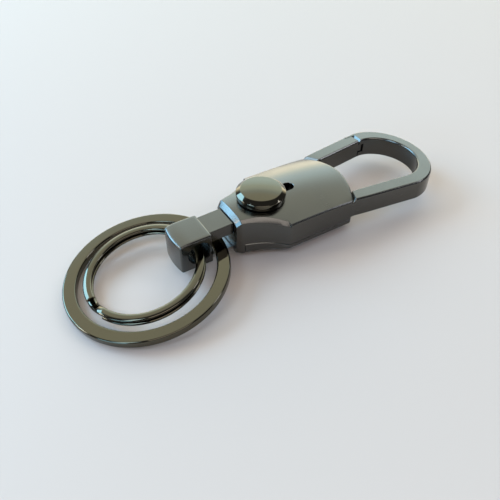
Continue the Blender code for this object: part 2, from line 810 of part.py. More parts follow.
def make_slide(parent):
    slide_origin = (knob_x, 0.0, 0.0)
    rim_turns = [math.pi / 2 * k / knob_rim_steps for k in range(knob_rim_steps + 1)]
    knob = turned(
        [(0.0, knob_skirt_z), (knob_waist_radius, knob_skirt_z), (knob_radius, knob_skirt_z + knob_skirt_height),
         *((knob_flat_radius + (knob_radius - knob_flat_radius) * math.cos(turn),
            knob_top_z - knob_rim_height * (1 - math.sin(turn))) for turn in rim_turns),
         *((knob_flat_radius * share, knob_top_z + knob_dome * (1 - share ** 2)) for share in dome_shares),
         (0.0, knob_top_z + knob_dome)],
        slide_place(), knob_segments)
    knob = add_object("thumb_knob", knob, slide_origin, parent, "polished_nickel")
    boolean(knob, add_object("knob_saddle", prism_along_x(saddle_outline(), knob_x - 2 * knob_radius,
                                                         knob_x + 2 * knob_radius), slide_origin, parent),
            "DIFFERENCE")
    boolean(knob, add_object("knob_bore", rod((knob_x, 0.0, knob_skirt_z - overrun), stem_radius + fit_gap,
                                              stem_top + fit_gap - knob_skirt_z + overrun), slide_origin, parent),
            "DIFFERENCE")

    nut_top = bolt_tail_bottom - fit_gap
    stem_bottom = nut_pocket_floor + fit_gap
    stem = rod((knob_x, 0.0, stem_bottom), stem_radius, stem_top - stem_bottom)
    add_object("knob_stem", stem, slide_origin, parent, "plain_steel")

    nut = rod((knob_x, 0.0, nut_top - nut_height), nut_radius, nut_height, segments=6)
    nut = add_object("stem_nut", nut, slide_origin, parent, "plain_steel")
    boolean(nut, add_object("nut_bore", rod((knob_x, 0.0, nut_top - nut_height - overrun), stem_radius + fit_gap,
                                            nut_height + 2 * overrun), slide_origin, parent), "DIFFERENCE")

    carriage = box(carriage_front_x, carriage_front_x + carriage_length, -carriage_half_width, carriage_half_width,
                   carriage_bottom, carriage_top)
    bevel_edges(carriage, carriage_bevel)
    carriage = add_object("slide_carriage", carriage, slide_origin, parent, "slide_polymer")
    boolean(carriage, add_object("carriage_bore", rod((knob_x, 0.0, carriage_bottom - overrun),
                                                      stem_radius + fit_gap,
                                                      carriage_top - carriage_bottom + 2 * overrun),
                                 slide_origin, parent), "DIFFERENCE")
    seat_x = carriage_front_x + carriage_length - spring_seat_depth
    seat = rod((seat_x, 0.0, bolt_spring_z), bolt_spring_radius + bolt_spring_wire + fit_gap,
               spring_seat_depth + overrun, "X")
    boolean(carriage, add_object("spring_seat", seat, slide_origin, parent), "DIFFERENCE")

    bolt = prism_along_y(bolt_outline(), -bolt_half_width, bolt_half_width)
    bevel_edges(bolt, bolt_bevel, 1, lambda edge: edge.calc_face_angle(0.0) > math.radians(60))
    bolt = add_object("lock_bolt", bolt, slide_origin, parent, "plain_steel")
    boolean(bolt, add_object("tail_bore", rod((knob_x, 0.0, bolt_tail_bottom - overrun), stem_radius + fit_gap,
                                              bolt_tail_top - bolt_tail_bottom + 2 * overrun), slide_origin, parent),
            "DIFFERENCE")

    start = (seat_x + fit_gap + bolt_spring_wire, 0.0, bolt_spring_z)
    length = cavity_back_x - fit_gap - bolt_spring_wire - start[0]
    spring, points = coil(start, "X", length, bolt_spring_radius, bolt_spring_wire, bolt_spring_turns)
    add_object("bolt_spring", spring, (cavity_back_x, 0.0, bolt_spring_z), parent, "spring_steel")
    report_self_gap("bolt_spring", points, 2 * bolt_spring_wire, spring_points_per_turn)

    guide = rod((rod_free_x, 0.0, bolt_spring_z), rod_radius, cavity_back_x + rod_root_length - rod_free_x, "X",
                chamfer=rod_radius / 4)
    add_object("spring_rod", guide, (cavity_back_x, 0.0, bolt_spring_z), parent, "plain_steel")


def slide_place():
    return (knob_x, 0.0, 0.0)


def saddle_outline():
    """The crown's curve with a lift, so that the knob clears the plate over its whole travel."""
    reach = 1.3 * knob_radius
    steps = 10
    outline = [(reach, crown_top - 4 * overrun), (reach, saddle_z(reach))]
    outline += [(y, saddle_z(y)) for y in (reach - 2 * reach * i / steps for i in range(1, steps))]
    outline += [(-reach, saddle_z(reach)), (-reach, crown_top - 4 * overrun)]
    return outline


def saddle_z(y):
    return crown_top + knob_lift - y ** 2 / (2 * crown_radius_across)


def bolt_outline():
    """The bolt from the side: a low nose that passes under the ring, a step and a tail under the carriage."""
    rise = bolt_step_x + bolt_step_length
    return [(bolt_tip_x, bolt_nose_bottom), (rise - bolt_step_length / 2, bolt_nose_bottom),
            (rise, bolt_tail_bottom), (bolt_tail_end_x, bolt_tail_bottom), (bolt_tail_end_x, bolt_tail_top),
            (bolt_step_x, bolt_tail_top), (bolt_step_x, bolt_nose_top), (bolt_tip_x, bolt_nose_top)]


def make_gate_hardware(parent):
    bottom = seam_z
    top = gate_root_top + fit_gap + gate_pin_bite
    pin = rod((gate_pin_x, gate_pin_y, bottom), gate_pin_radius, top - bottom)
    add_object("gate_pin", pin, (gate_pin_x, gate_pin_y, 0.0), parent, "plain_steel")
    start = (gate_spring_x, gate_spring_seat_y + fit_gap + gate_spring_wire, gate_spring_z)
    length = loop_inner_at_root() - fit_gap - gate_spring_wire - start[1]
    spring, points = coil(start, "Y", length, gate_spring_radius, gate_spring_wire, gate_spring_turns)
    add_object("gate_spring", spring, (gate_spring_x, gate_spring_seat_y, gate_spring_z), parent, "spring_steel")
    report_self_gap("gate_spring", points, 2 * gate_spring_wire, spring_points_per_turn)


def loop_inner_at_root():
    """Inner flank of the gate's root where the spring presses on it."""
    share = (gate_spring_x - gate_pin_x) / (body_end_x - gate_pin_x)
    start = gate_pin_y - gate_barrel_radius
    return start + (loop_inner_start - start) * share


def make_outer_ring(parent):
    tilt = math.radians(ring_tilt_deg)
    middle = (ring_radius + ring_inner_radius) / 2
    centre = Vector((ring_section_x - middle * math.cos(tilt), 0.0, ring_section_z - middle * math.sin(tilt)))
    half_width = (ring_radius - ring_inner_radius) / 2
    half_height = ring_thickness / 2
    section = []
    corners = ((half_width, half_height, 0.0), (-half_width, half_height, 90.0),
               (-half_width, -half_height, 180.0), (half_width, -half_height, 270.0))
    for wide, high, start in corners:
        wide -= math.copysign(ring_edge_radius, wide)
        high -= math.copysign(ring_edge_radius, high)
        for k in range(corner_steps):
            angle = math.radians(start + 90.0 * k / (corner_steps - 1))
            section.append((middle + wide + ring_edge_radius * math.cos(angle),
                            high + ring_edge_radius * math.sin(angle)))
    rings = []
    for i in range(ring_segments):
        turn = 2 * math.pi * i / ring_segments
        rings.append([
            centre + Vector((r * math.cos(turn) * math.cos(tilt) - h * math.sin(tilt), r * math.sin(turn),
                             r * math.cos(turn) * math.sin(tilt) + h * math.cos(tilt)))
            for r, h in section
        ])
    ring = skin(bmesh.new(), rings, closed_loop=True)
    add_object("outer_ring", ring, (ring_section_x, 0.0, ring_pivot_z), parent, "polished_nickel")


def split_height(turn_deg):
    """Height of the wire's middle over the ring's own plane, as the wire climbs once from turn to turn."""
    layer = (split_wire_height + split_gap) / 2
    whole = 360.0 * split_turns - split_cross_deg
    middle = whole / 2
    share = (turn_deg - middle) / split_cross_deg + 0.5
    share = min(max(share, 0.0), 1.0)
    return layer * (2 * share * share * (3 - 2 * share) - 1)


def make_split_ring(parent):
    tilt = math.radians(split_tilt_deg)
    centre = Vector((split_section_x - split_radius * math.cos(tilt), 0.0,
                     split_section_z - split_radius * math.sin(tilt)))
    whole = 360.0 * split_turns - split_cross_deg
    half_width, half_height = split_wire_width / 2, split_wire_height / 2
    section = []
    corners = ((half_width, half_height, 0.0), (-half_width, half_height, 90.0),
               (-half_width, -half_height, 180.0), (half_width, -half_height, 270.0))
    for wide, high, start in corners:
        wide -= math.copysign(split_edge_radius, wide)
        high -= math.copysign(split_edge_radius, high)
        for k in range(corner_steps):
            angle = math.radians(start + 90.0 * k / (corner_steps - 1))
            section.append((wide + split_edge_radius * math.cos(angle), high + split_edge_radius * math.sin(angle)))
    rings, points = [], []
    for i in range(split_steps + 1):
        turn_deg = whole * i / split_steps
        turn = math.radians(split_end_deg + split_cross_deg / 2 + turn_deg)
        rise = split_height(turn_deg)
        ring = []
        for wide, high in section + [(0.0, 0.0)]:
            r, h = split_radius + wide, rise + high
            ring.append(centre + Vector((r * math.cos(turn) * math.cos(tilt) - h * math.sin(tilt),
                                         r * math.sin(turn),
                                         r * math.cos(turn) * math.sin(tilt) + h * math.cos(tilt))))
        points.append(ring.pop())
        rings.append(ring)
    ring = skin(bmesh.new(), rings)
    add_object("inner_split_ring", ring, (split_section_x, 0.0, split_section_z), parent, "polished_nickel")
    report_self_gap("inner_split_ring", points, split_wire_height, split_steps / split_turns)


def drop_to_floor(frame):
    """Moves the parent empty so that the whole object stands on z = 0 with its box centred on the origin."""
    bpy.context.view_layer.update()
    graph = bpy.context.evaluated_depsgraph_get()
    low, high = Vector((1e9,) * 3), Vector((-1e9,) * 3)
    for obj in frame.children:
        if obj.hide_render:
            continue
        shape = obj.evaluated_get(graph)
        for vertex in shape.data.vertices:
            point = shape.matrix_world @ vertex.co
            low = Vector(map(min, low, point))
            high = Vector(map(max, high, point))
    frame.location -= Vector(((low.x + high.x) / 2, (low.y + high.y) / 2, low.z))
    bpy.context.view_layer.update()


def main():
    clear_scene()
    frame = bpy.data.objects.new("keychain_frame", None)
    bpy.context.scene.collection.objects.link(frame)
    frame.rotation_euler = (0.0, math.radians(rest_pitch_deg), 0.0)
    make_hook_body(frame)
    make_back_cover(frame)
    make_screws(frame)
    make_gate(frame)
    make_gate_hardware(frame)
    make_eye_hook(frame)
    make_slide(frame)
    make_outer_ring(frame)
    make_split_ring(frame)
    drop_to_floor(frame)


main()
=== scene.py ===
"""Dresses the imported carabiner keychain: fine castings, rings and springs, their plating, and a soft studio.

Lengths are metres. The castings are drawn in the carabiner's own frame, with x = 0 at the neck's end face, x running
towards the loop, y across and z up from the middle of the body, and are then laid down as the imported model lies.
"""

import json
import math

import bmesh
import bpy
from bpy.props import FloatProperty, FloatVectorProperty, PointerProperty
from mathutils import Matrix, Vector


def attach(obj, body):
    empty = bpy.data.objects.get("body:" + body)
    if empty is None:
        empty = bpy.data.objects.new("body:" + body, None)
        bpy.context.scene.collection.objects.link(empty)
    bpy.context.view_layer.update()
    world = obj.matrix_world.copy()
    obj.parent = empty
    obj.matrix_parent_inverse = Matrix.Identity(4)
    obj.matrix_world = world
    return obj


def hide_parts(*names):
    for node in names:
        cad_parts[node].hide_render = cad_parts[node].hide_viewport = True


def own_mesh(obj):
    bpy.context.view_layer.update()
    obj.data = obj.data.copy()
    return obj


bl_info = {
    "name": "Carabiner Keychain",
    "version": (1, 0, 0),
    "blender": (4, 5, 0),
    "location": "View3D > Sidebar > Keychain",
    "description": "Builds the visible pieces of a carabiner keychain round its packed frame",
    "category": "Add Mesh",
}

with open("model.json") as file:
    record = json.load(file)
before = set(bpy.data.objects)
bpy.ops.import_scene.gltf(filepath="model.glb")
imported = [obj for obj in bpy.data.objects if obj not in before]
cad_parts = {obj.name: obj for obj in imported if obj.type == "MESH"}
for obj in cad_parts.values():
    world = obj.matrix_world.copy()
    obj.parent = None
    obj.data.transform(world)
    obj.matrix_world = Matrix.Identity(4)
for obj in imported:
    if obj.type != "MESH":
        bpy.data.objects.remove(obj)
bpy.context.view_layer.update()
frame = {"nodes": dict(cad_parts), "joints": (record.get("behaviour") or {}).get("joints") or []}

# Shared by the pieces: play round the inner pieces, run of a cutter past the metal, sides of a small round hole
fit_gap = 0.0003
overrun = 0.002
round_segments = 48
weld_distance = 1e-8

# Body
neck_half_width = 0.00435
neck_chamfer = 0.0010
neck_softness = 0.0003
body_shoulder_x = 0.0099
shoulder_ease = 0.0002
body_end_x = 0.0293
body_end_bulge = 0.0028
body_bulge_start_x = 0.0195
crown_top = 0.00507
crown_peak_x = 0.017
crown_neck_drop = 0.00052
crown_end_drop = 0.00041
crown_radius_across = 0.0262
crown_steps = 18
underside_depth = 0.00505
underside_radius = 0.0282
seam_z = -0.00215
scoop_chamfer = 0.00095
side_chamfer = 0.00028
underside_chamfer = 0.00035
end_chamfer = 0.00040
end_softness = 0.0006
scoop_bow_share = 0.13
scoop_skew_share = 0.45
neck_wall = 0.0013
neck_edge_chamfer = 0.0006
neck_flank_share = 0.6
scoop_fade_x = 0.0060
cover_front_x = 0.0019
cover_inset = 0.00012
seam_gap = 0.0001
seam_chamfer = 0.00012
edge_round = 0.00012
scoop_steps = 24
plate_steps = 36

# Loop and gate
loop_top = 0.0033
loop_bottom = -0.0016
loop_edge_chamfer = 0.00030
root_overlap = 0.0003
root_gap = 0.00002
root_rise = 0.0006
root_turn_share = 0.5
root_blend = 0.0016
root_blend_top = 0.0026
slope_ease = 0.00006
arm_steps = 12
loop_end_steps = 72
loop_wide_x = 0.0435
loop_outer_end_x = 0.053697
loop_inner_end_x = 0.0510
nose_x = 0.0432
nose_slant = 0.00035
nose_lip_length = 0.0020
nose_lip_wall = 0.0009
nose_facet = 0.0005
gate_pin_x = 0.0248
gate_pin_y = 0.0076
gate_barrel_radius = 0.0012
gate_barrel_turn_deg = 190.0
gate_barrel_steps = 24
gate_pin_bore = 0.0008
gate_root_top = 0.0018
gate_start_gap = 0.00008
gate_start_relief = 0.0007
gate_start_rise = 0.0008
gate_lap_length = 0.0013
gate_lap_height = 0.0020
gate_lap_z = 0.0009
gate_lap_wall = 0.0010
gate_lap_play = 0.0001
gate_lap_round = 0.0001
gate_pocket_inner = 0.0033
gate_pocket_back_x = 0.0225

# Inside of the body
roof_z = 0.0029
cavity_front_x = 0.0042
cavity_back_x = 0.0218
cavity_half_width = 0.0049
bolt_half_width = 0.0023
bolt_nose_top = -0.00372
bolt_way_top = -0.0012
nut_pocket_floor = -0.0043
bolt_slot_end_x = 0.0092
nut_pocket_end_x = 0.0179
slot_width = 0.00262
slot_back_x = 0.00725
slot_end_x = 0.01682
slot_flare = 0.00006
slot_arc_steps = 16
stem_radius = 0.00088

# Eye hook
tongue_half_width = 0.00292
tongue_top = 0.00298
tongue_rise = 0.00028
tongue_seam = 0.00005
tongue_bottom = 0.00022
tongue_length = 0.0055
tongue_round = 0.00014
root_half_width = 0.0023
root_top = 0.0020
root_bottom = 0.0005
root_length = 0.0032
block_half_width = 0.00389
block_length = 0.00722
block_bulge = 0.00048
block_top = 0.00319
block_bottom = -0.0042
block_round = 0.00038
block_crown = 0.00048
block_side_crown = 0.00003
block_corner_steps = 5
least_corner = 0.000003
block_across_steps = 20
block_along_steps = 14
eye_x = -0.0085
eye_z = -0.00045
eye_radius = 0.0025
eye_flare = 0.00022
eye_segments = 96
bolt_tip_x = -0.0060
hook_pin_x = 0.0019
hook_pin_radius = 0.00055
hook_pin_bore_top = 0.0034

# Knob
knob_x = 0.0085
knob_skirt_z = 0.0043
knob_skirt_height = 0.0012
knob_waist_radius = 0.00515
knob_rim_wall = 0.00020
knob_rim_soft = 0.00095
knob_rim_crisp = 0.00030
knob_lift = 0.00012
knob_segments = 128
knob_skirt_steps = 8
knob_dome_steps = 10
saddle_reach_share = 1.3
saddle_steps = 40
stem_top = 0.0058

# Springs
bolt_spring_start_x = 0.01025
bolt_spring_end_x = 0.02125
bolt_spring_z = 0.0007
bolt_spring_radius = 0.0013
bolt_spring_wire = 0.00025
bolt_spring_turns = 7.0
gate_spring_x = 0.0275
gate_spring_start_y = 0.00126
gate_spring_z = 0.0001
gate_spring_radius = 0.00095
gate_spring_wire = 0.00016
gate_spring_turns = 4.2
gate_spring_reach = 0.00492
gate_spring_hole_back = 0.00046
gate_spring_hole_radius = 0.0014
gate_spring_hole_depth = 0.0045
coil_self_gap = 0.00043
coil_turn_steps = 36
coil_sides = 14

# Screws
screw_places = ((0.0080, 0.0064), (0.0080, -0.0064), (0.0203, 0.0072), (0.0203, -0.0072))
screw_head_radius = 0.0011
screw_shank_radius = 0.00065
screw_cone_height = 0.0007
screw_tip_z = 0.0010
screw_sink = 0.00015
screw_play = 0.0001
screw_tip_chamfer = 0.0002
screw_edge_round = 0.00005
recess_half_length = 0.00085
recess_half_width = 0.00018
recess_depth = 0.0003
recess_turn_deg = 20.0
recess_next_turn_deg = 37.0

# Rings
ring_corner = 0.00038
ring_corner_steps = 7
ring_segments = 256
ring_section_x = -0.00314
ring_section_z = -0.00216
ring_tilt_deg = 7.55
split_section_x = -0.00785
split_section_z = -0.0011
split_tilt_deg = 10.6
split_gap = 0.00042
split_turns = 2.0
split_end_deg = 192.0
split_cross_deg = 22.0
split_whole_deg = 360.0 * split_turns - split_cross_deg
split_steps = 420
split_wire_sides = 28
split_squareness = 2.25
split_end_round = 0.00006

# The photograph's view, in the carabiner's frame
camera_spot = (-0.041756, -0.078485, 0.075483)
camera_rise_deg = 47.22
camera_heading_deg = -31.21
camera_lens = 38.995


def length(name, default, description):
    return FloatProperty(name=name, default=default, description=description, unit="LENGTH", precision=5, min=0.0)


def share(name, default, description):
    return FloatProperty(name=name, default=default, description=description, subtype="FACTOR", min=0.0, max=1.0)


def colour(name, default, description):
    return FloatVectorProperty(name=name, default=default, description=description, subtype="COLOR", size=3,
                               min=0.0, max=1.0)


class KeychainSizes(bpy.types.PropertyGroup):
    """Sizes of the keychain that a user may change"""

    body_half_width: length("Body half width", 0.0098, "Half the width of the body between its flat sides")
    loop_outer_start: length("Arm outer", 0.0099, "Outer face of the loop's arm where it leaves the body")
    loop_inner_start: length("Arm inner", 0.0068, "Inner face of the loop's arm where it leaves the body")
    loop_outer_wide: length("Loop outer", 0.0122, "Outer face of the loop at its widest")
    loop_inner_wide: length("Loop inner", 0.0086, "Inner face of the loop at its widest")
    knob_radius: length("Knob radius", 0.00542, "Radius of the thumb knob")
    knob_flat_radius: length("Knob flat", 0.00442, "Radius of the knob's nearly flat top")
    knob_rim_height: length("Knob rim height", 0.00092, "Height over which the knob's rim rounds into its top")
    knob_top_z: length("Knob top height", 0.00707, "Height of the edge of the knob's flat top")
    knob_dome: length("Knob dome", 0.00026, "Rise of the knob's top from its edge to its middle")
    ring_radius: length("Flat ring radius", 0.017497, "Outer radius of the flat ring")
    ring_inner_radius: length("Flat ring inner radius", 0.0147, "Inner radius of the flat ring")
    ring_thickness: length("Flat ring thickness", 0.0017, "Thickness of the flat ring")
    split_radius: length("Split ring radius", 0.0119, "Radius of the middle of the split ring's wire")
    split_wire_width: length("Split wire width", 0.0018, "Width of the split ring's flat wire")
    split_wire_height: length("Split wire height", 0.0008, "Height of the split ring's flat wire")


class KeychainFinish(bpy.types.PropertyGroup):
    """Plating and metal finishes of the keychain"""

    satin: colour("Satin nickel", (0.118, 0.118, 0.111), "Colour of the satin black nickel plating")
    satin_worn: colour("Satin nickel, worn", (0.20, 0.20, 0.19), "Colour of the satin plating along hairlines")
    satin_roughness: share("Satin roughness", 0.22, "Roughness of the satin plating")
    polished: colour("Polished nickel", (0.110, 0.102, 0.076), "Colour of the mirror polished plating")
    polished_worn: colour("Polished nickel, worn", (0.17, 0.16, 0.13), "Colour of the polished plating along hairlines")
    polished_roughness: share("Polished roughness", 0.045, "Roughness of the mirror polished plating")
    steel: colour("Plain steel", (0.42, 0.41, 0.40), "Colour of the pins, the screws and the bolt")
    steel_roughness: share("Steel roughness", 0.32, "Roughness of the plain steel")
    polymer: colour("Slide polymer", (0.022, 0.022, 0.024), "Colour of the moulded slide carriage")
    polymer_roughness: share("Polymer roughness", 0.48, "Roughness of the moulded slide carriage")


class KeychainStudio(bpy.types.PropertyGroup):
    """Floor and light of the studio"""

    floor: colour("Floor", (0.635, 0.55, 0.51), "Colour of the plain floor")
    window: colour("Window", (0.35, 0.68, 1.0), "Colour of the cool light from the left")
    high_window: colour("High window", (0.58, 0.80, 1.0), "Colour of the small cool light high on the left")
    lamp: colour("Lamp", (1.0, 0.99, 0.97), "Colour of the small lamp on the left")
    card: colour("Card", (1.0, 0.90, 0.84), "Colour of the small warm card in front")
    side_card: colour("Side card", (0.86, 0.88, 1.0), "Colour of the small pale card on the right")


# Mesh tools

def lay_down():
    """The carabiner's frame in the row's frame, read from the slide's own joint."""
    slide = next(joint for joint in frame["joints"] if joint["name"] == "bolt_slide")
    along = Vector(slide["axis"]).normalized()
    across = Vector((0.0, 1.0, 0.0))
    laid = Matrix((along, across, along.cross(across))).transposed().to_4x4()
    laid.translation = Vector(slide["pos_m"]) - along * knob_x
    return laid


laid_frame = lay_down()


def fillet(points, radii, steps, closed=True):
    """Rounds the corners of a flat outline. radii is one radius, or one for each point."""
    count = len(points)
    if not hasattr(radii, "__len__"):
        radii = [radii] * count
    out = []
    for i, radius in enumerate(radii):
        here = Vector(points[i])
        if radius <= 0 or (not closed and i in (0, count - 1)):
            out.append(tuple(here))
            continue
        back, ahead = Vector(points[i - 1]) - here, Vector(points[(i + 1) % count]) - here
        half = back.angle(ahead) / 2
        reach = min(radius / math.tan(half), 0.49 * back.length, 0.49 * ahead.length)
        start, end = here + back.normalized() * reach, here + ahead.normalized() * reach
        for k in range(steps + 1):
            t = k / steps
            out.append(tuple(start * (1 - t) ** 2 + here * (2 * t * (1 - t)) + end * t ** 2))
    return out


def rib(bm, row):
    """Splits a curved end face into upright strips."""
    pairs = {}
    for vert in row:
        pairs.setdefault(round(vert.co.y, 7), []).append(vert)
    for pair in pairs.values():
        if len(pair) == 2:
            bmesh.ops.connect_verts(bm, verts=pair)


def skin(rings, capped=True, looped=False, ribbed=False):
    """Joins rings of equal numbers of points with quads and, where asked, caps both ends."""
    bm = bmesh.new()
    rows = [[bm.verts.new(point) for point in ring] for ring in rings]
    count = len(rows[0])
    pairs = list(zip(rows, rows[1:])) + ([(rows[-1], rows[0])] if looped else [])
    for first, second in pairs:
        for i in range(count):
            j = (i + 1) % count
            bm.faces.new((first[i], first[j], second[j], second[i]))
    if capped and not looped:
        bm.faces.new(rows[0][::-1])
        bm.faces.new(rows[-1])
        if ribbed:
            rib(bm, rows[-1])
    return bm


def box(x_from, x_to, y_from, y_to, z_from, z_to):
    """A plain block between six faces."""
    return skin([[(x, y_from, z_from), (x, y_to, z_from), (x, y_to, z_to), (x, y_from, z_to)] for x in (x_from, x_to)])


def prism(outline, z_from, z_to):
    """An upright solid over a plan outline."""
    return skin([[(x, y, z) for x, y in outline] for z in (z_from, z_to)])


def turned(profile, centre, segments=round_segments, axis="Z"):
    """A solid of revolution from (radius, height) points, the first and last on the axis."""
    rows = [
        [(radius * math.cos(turn), radius * math.sin(turn), height)
         for turn in (2 * math.pi * i / segments for i in range(segments))]
        for radius, height in profile[1:-1]
    ]
    bm = skin(rows)
    quarter = {"Z": Matrix.Identity(3), "X": Matrix.Rotation(math.pi / 2, 3, "Y"),
               "Y": Matrix.Rotation(-math.pi / 2, 3, "X")}[axis]
    bmesh.ops.rotate(bm, verts=bm.verts, matrix=quarter)
    bmesh.ops.translate(bm, verts=bm.verts, vec=centre)
    return bm


def rod(centre, radius, reach, axis="Z"):
    """A plain cylinder that starts at its centre and runs along its axis."""
    return turned([(0, 0), (radius, 0), (radius, reach), (0, reach)], centre, axis=axis)


def soften(bm, width, segments, steep_deg=40):
    """Rounds the edges of a bmesh that are steeper than the given angle."""
    steep = math.radians(steep_deg)
    bmesh.ops.recalc_face_normals(bm, faces=bm.faces)
    edges = [edge for edge in bm.edges if edge.calc_face_angle(0.0) > steep]
    bmesh.ops.bevel(bm, geom=edges, offset=width, segments=segments, profile=0.5, affect="EDGES",
                    clamp_overlap=False)
    return bm


def mesh_object(name, bm):
    """Turns a bmesh into an object of the scene."""
    bmesh.ops.remove_doubles(bm, verts=bm.verts, dist=weld_distance)
    bmesh.ops.recalc_face_normals(bm, faces=bm.faces)
    mesh = bpy.data.meshes.new(name)
    bm.to_mesh(mesh)
    bm.free()
    obj = bpy.data.objects.new(name, mesh)
    bpy.context.scene.collection.objects.link(obj)
    return obj


def settle(obj):
    """Turns the modifiers of an object into its mesh."""
    graph = bpy.context.evaluated_depsgraph_get()
    solid = bpy.data.meshes.new_from_object(obj.evaluated_get(graph))
    obj.modifiers.clear()
    obj.data = solid


def work(obj, bm, operation="DIFFERENCE"):
    """Cuts a shape from an object or joins it on."""
    tool = mesh_object("tool", bm)
    step = obj.modifiers.new("work", "BOOLEAN")
    step.operation, step.solver, step.object = operation, "EXACT", tool
    settle(obj)
    bpy.data.objects.remove(tool)


def place(obj, body, slot, replaced, sharp_deg=38, evened=True):
    """Lays a finished piece down in the row's frame, smooths it and hands it to its body."""
    obj.data.transform(laid_frame)
    obj.data.shade_smooth()
    obj.data.set_sharp_from_angle(angle=math.radians(sharp_deg))
    if evened:
        shading = obj.modifiers.new("even_shading", "WEIGHTED_NORMAL")
        shading.keep_sharp = True
        settle(obj)
    obj.data.materials.clear()
    obj.data.materials.append(finish_of(slot))
    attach(obj, body)
    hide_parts(*replaced)


# Body surfaces

def sizes():
    return bpy.context.scene.keychain_sizes


def scoop_half_width(x):
    """Half the body's width at x: the neck, the hollow scoop and then the full width."""
    full = sizes().body_half_width
    if x >= body_shoulder_x:
        return full
    part = x / body_shoulder_x
    straight = neck_half_width + (full - neck_half_width) * part
    skew = 1 - scoop_skew_share * (1 - part)
    return straight - scoop_bow_share * full * math.sin(math.pi * part) * skew


def scoop_chamfer_at(x):
    """The scoop's top chamfer, narrow at the neck and soon at its full width."""
    part = min(max(x / scoop_fade_x, 0.0), 1.0)
    return neck_edge_chamfer + (scoop_chamfer - neck_edge_chamfer) * part * part * (3 - 2 * part)


def neck_profile():
    """(x, half width, inset) over the neck's front chamfer, whose flanks are cut back less than its top."""
    return [(x, scoop_half_width(max(x, neck_chamfer)) + (1 - neck_flank_share) * inset, inset)
            for x, inset in end_profile(0.0, 1, neck_chamfer, neck_softness)]


def crown_z(x, y):
    """Height of the crowned top plate."""
    if x < crown_peak_x:
        drop = crown_neck_drop * ((crown_peak_x - x) / crown_peak_x) ** 3
    else:
        drop = crown_end_drop * ((x - crown_peak_x) / (body_end_x - crown_peak_x)) ** 2
    return crown_top - drop - y ** 2 / (2 * crown_radius_across)


def underside_z(y):
    """Height of the gently crowned underside."""
    return -underside_depth + y ** 2 / (2 * underside_radius)


def bulged_x(x, y):
    """The plate's end is an arc, and the stations near it bend with it."""
    if x <= body_bulge_start_x:
        return x
    part = (x - body_bulge_start_x) / (body_end_x - body_bulge_start_x)
    return x - part * body_end_bulge * (y / sizes().body_half_width) ** 2


def end_profile(at_x, inward, chamfer, softness):
    """Stations over the chamfer at an end of the body, as (x, inset) with both its edges rounded."""
    corners = [(at_x, 3 * chamfer), (at_x, chamfer), (at_x + inward * chamfer, 0.0), (at_x + inward * 3 * chamfer, 0.0)]
    return fillet(corners, softness, 3, closed=False)[1:-1]


def body_stations(first_x=None):
    """(x, half width, side chamfer, inset) along the body, first the neck, then the scoop and the plate."""
    rows = []
    if first_x is None:
        rows += [(x, half_width, scoop_chamfer_at(x), inset) for x, half_width, inset in neck_profile()]
        first_x = rows[-1][0] + edge_round
    ease_x = body_shoulder_x - shoulder_ease
    rows += [(x, scoop_half_width(x), scoop_chamfer_at(x), 0.0)
             for x in (first_x + (ease_x - first_x) * i / scoop_steps for i in range(scoop_steps + 1))]
    corner = [(ease_x, scoop_half_width(ease_x)), (body_shoulder_x, sizes().body_half_width),
              (body_shoulder_x + shoulder_ease, sizes().body_half_width)]
    turn = fillet(corner, shoulder_ease, 4, closed=False)
    for i, (x, half_width) in enumerate(turn[1:-1]):
        part = i / (len(turn) - 3)
        rows.append((x, half_width, scoop_chamfer + (side_chamfer - scoop_chamfer) * part, 0.0))
    first_x, last_x = body_shoulder_x + shoulder_ease, body_end_x - 3 * end_chamfer
    rows += [(x, sizes().body_half_width, side_chamfer, 0.0)
             for x in (first_x + (last_x - first_x) * i / plate_steps for i in range(plate_steps + 1))]
    rows += [(x, sizes().body_half_width, side_chamfer, inset)
             for x, inset in end_profile(body_end_x, -1, end_chamfer, end_softness)[::-1]]
    return rows


def across_points(side):
    """Even steps across the body from +side to -side, without the two ends."""
    return [side * (1 - 2 * i / crown_steps) for i in range(1, crown_steps)]


def casting_ring(x, half_width, chamfer, inset):
    """One closed cross section of the upper casting."""
    half_width -= inset
    side = half_width - chamfer
    edge = crown_z(x, side) - inset
    lip = side_chamfer / 2
    next_in = across_points(side)[0]
    flank = [(half_width - lip, seam_z), (half_width, seam_z + lip), (half_width, edge - chamfer), (side, edge),
             (next_in, crown_z(x, next_in) - inset)]
    flank = fillet(flank, [0, 0, edge_round, edge_round, 0], 3, closed=False)[:-1]
    points = flank + [(y, crown_z(x, y) - inset) for y in across_points(side)]
    points += [(-y, z) for y, z in flank[::-1]]
    points += [(-y, seam_z) for y in across_points(side)]
    return [(bulged_x(x, y), y, z) for y, z in points]


def underside_ring(x, half_width, top_z, inset, bottom_inset):
    """One closed cross section of the body's underside."""
    half_width -= cover_inset + inset
    side = half_width - underside_chamfer
    bottom = underside_z(side) + bottom_inset
    next_in = across_points(side)[0]
    flank = [(half_width - seam_chamfer, top_z), (half_width, top_z - seam_chamfer),
             (half_width, underside_z(side) + underside_chamfer + bottom_inset), (side, bottom),
             (next_in, underside_z(next_in) + bottom_inset)]
    flank = fillet(flank, [0, 0, edge_round, edge_round, 0], 3, closed=False)[:-1]
    points = flank + [(y, underside_z(y) + bottom_inset) for y in across_points(side)]
    points += [(-y, z) for y, z in flank[::-1]]
    points += [(-y, top_z) for y in across_points(side)]
    return [(bulged_x(x, y), y, z) for y, z in points]


def loop_outer_y(x):
    """Outer face of an arm at x."""
    s = sizes()
    start = body_end_x - body_end_bulge
    return s.loop_outer_start + (s.loop_outer_wide - s.loop_outer_start) * min((x - start) / (loop_wide_x - start), 1.0)


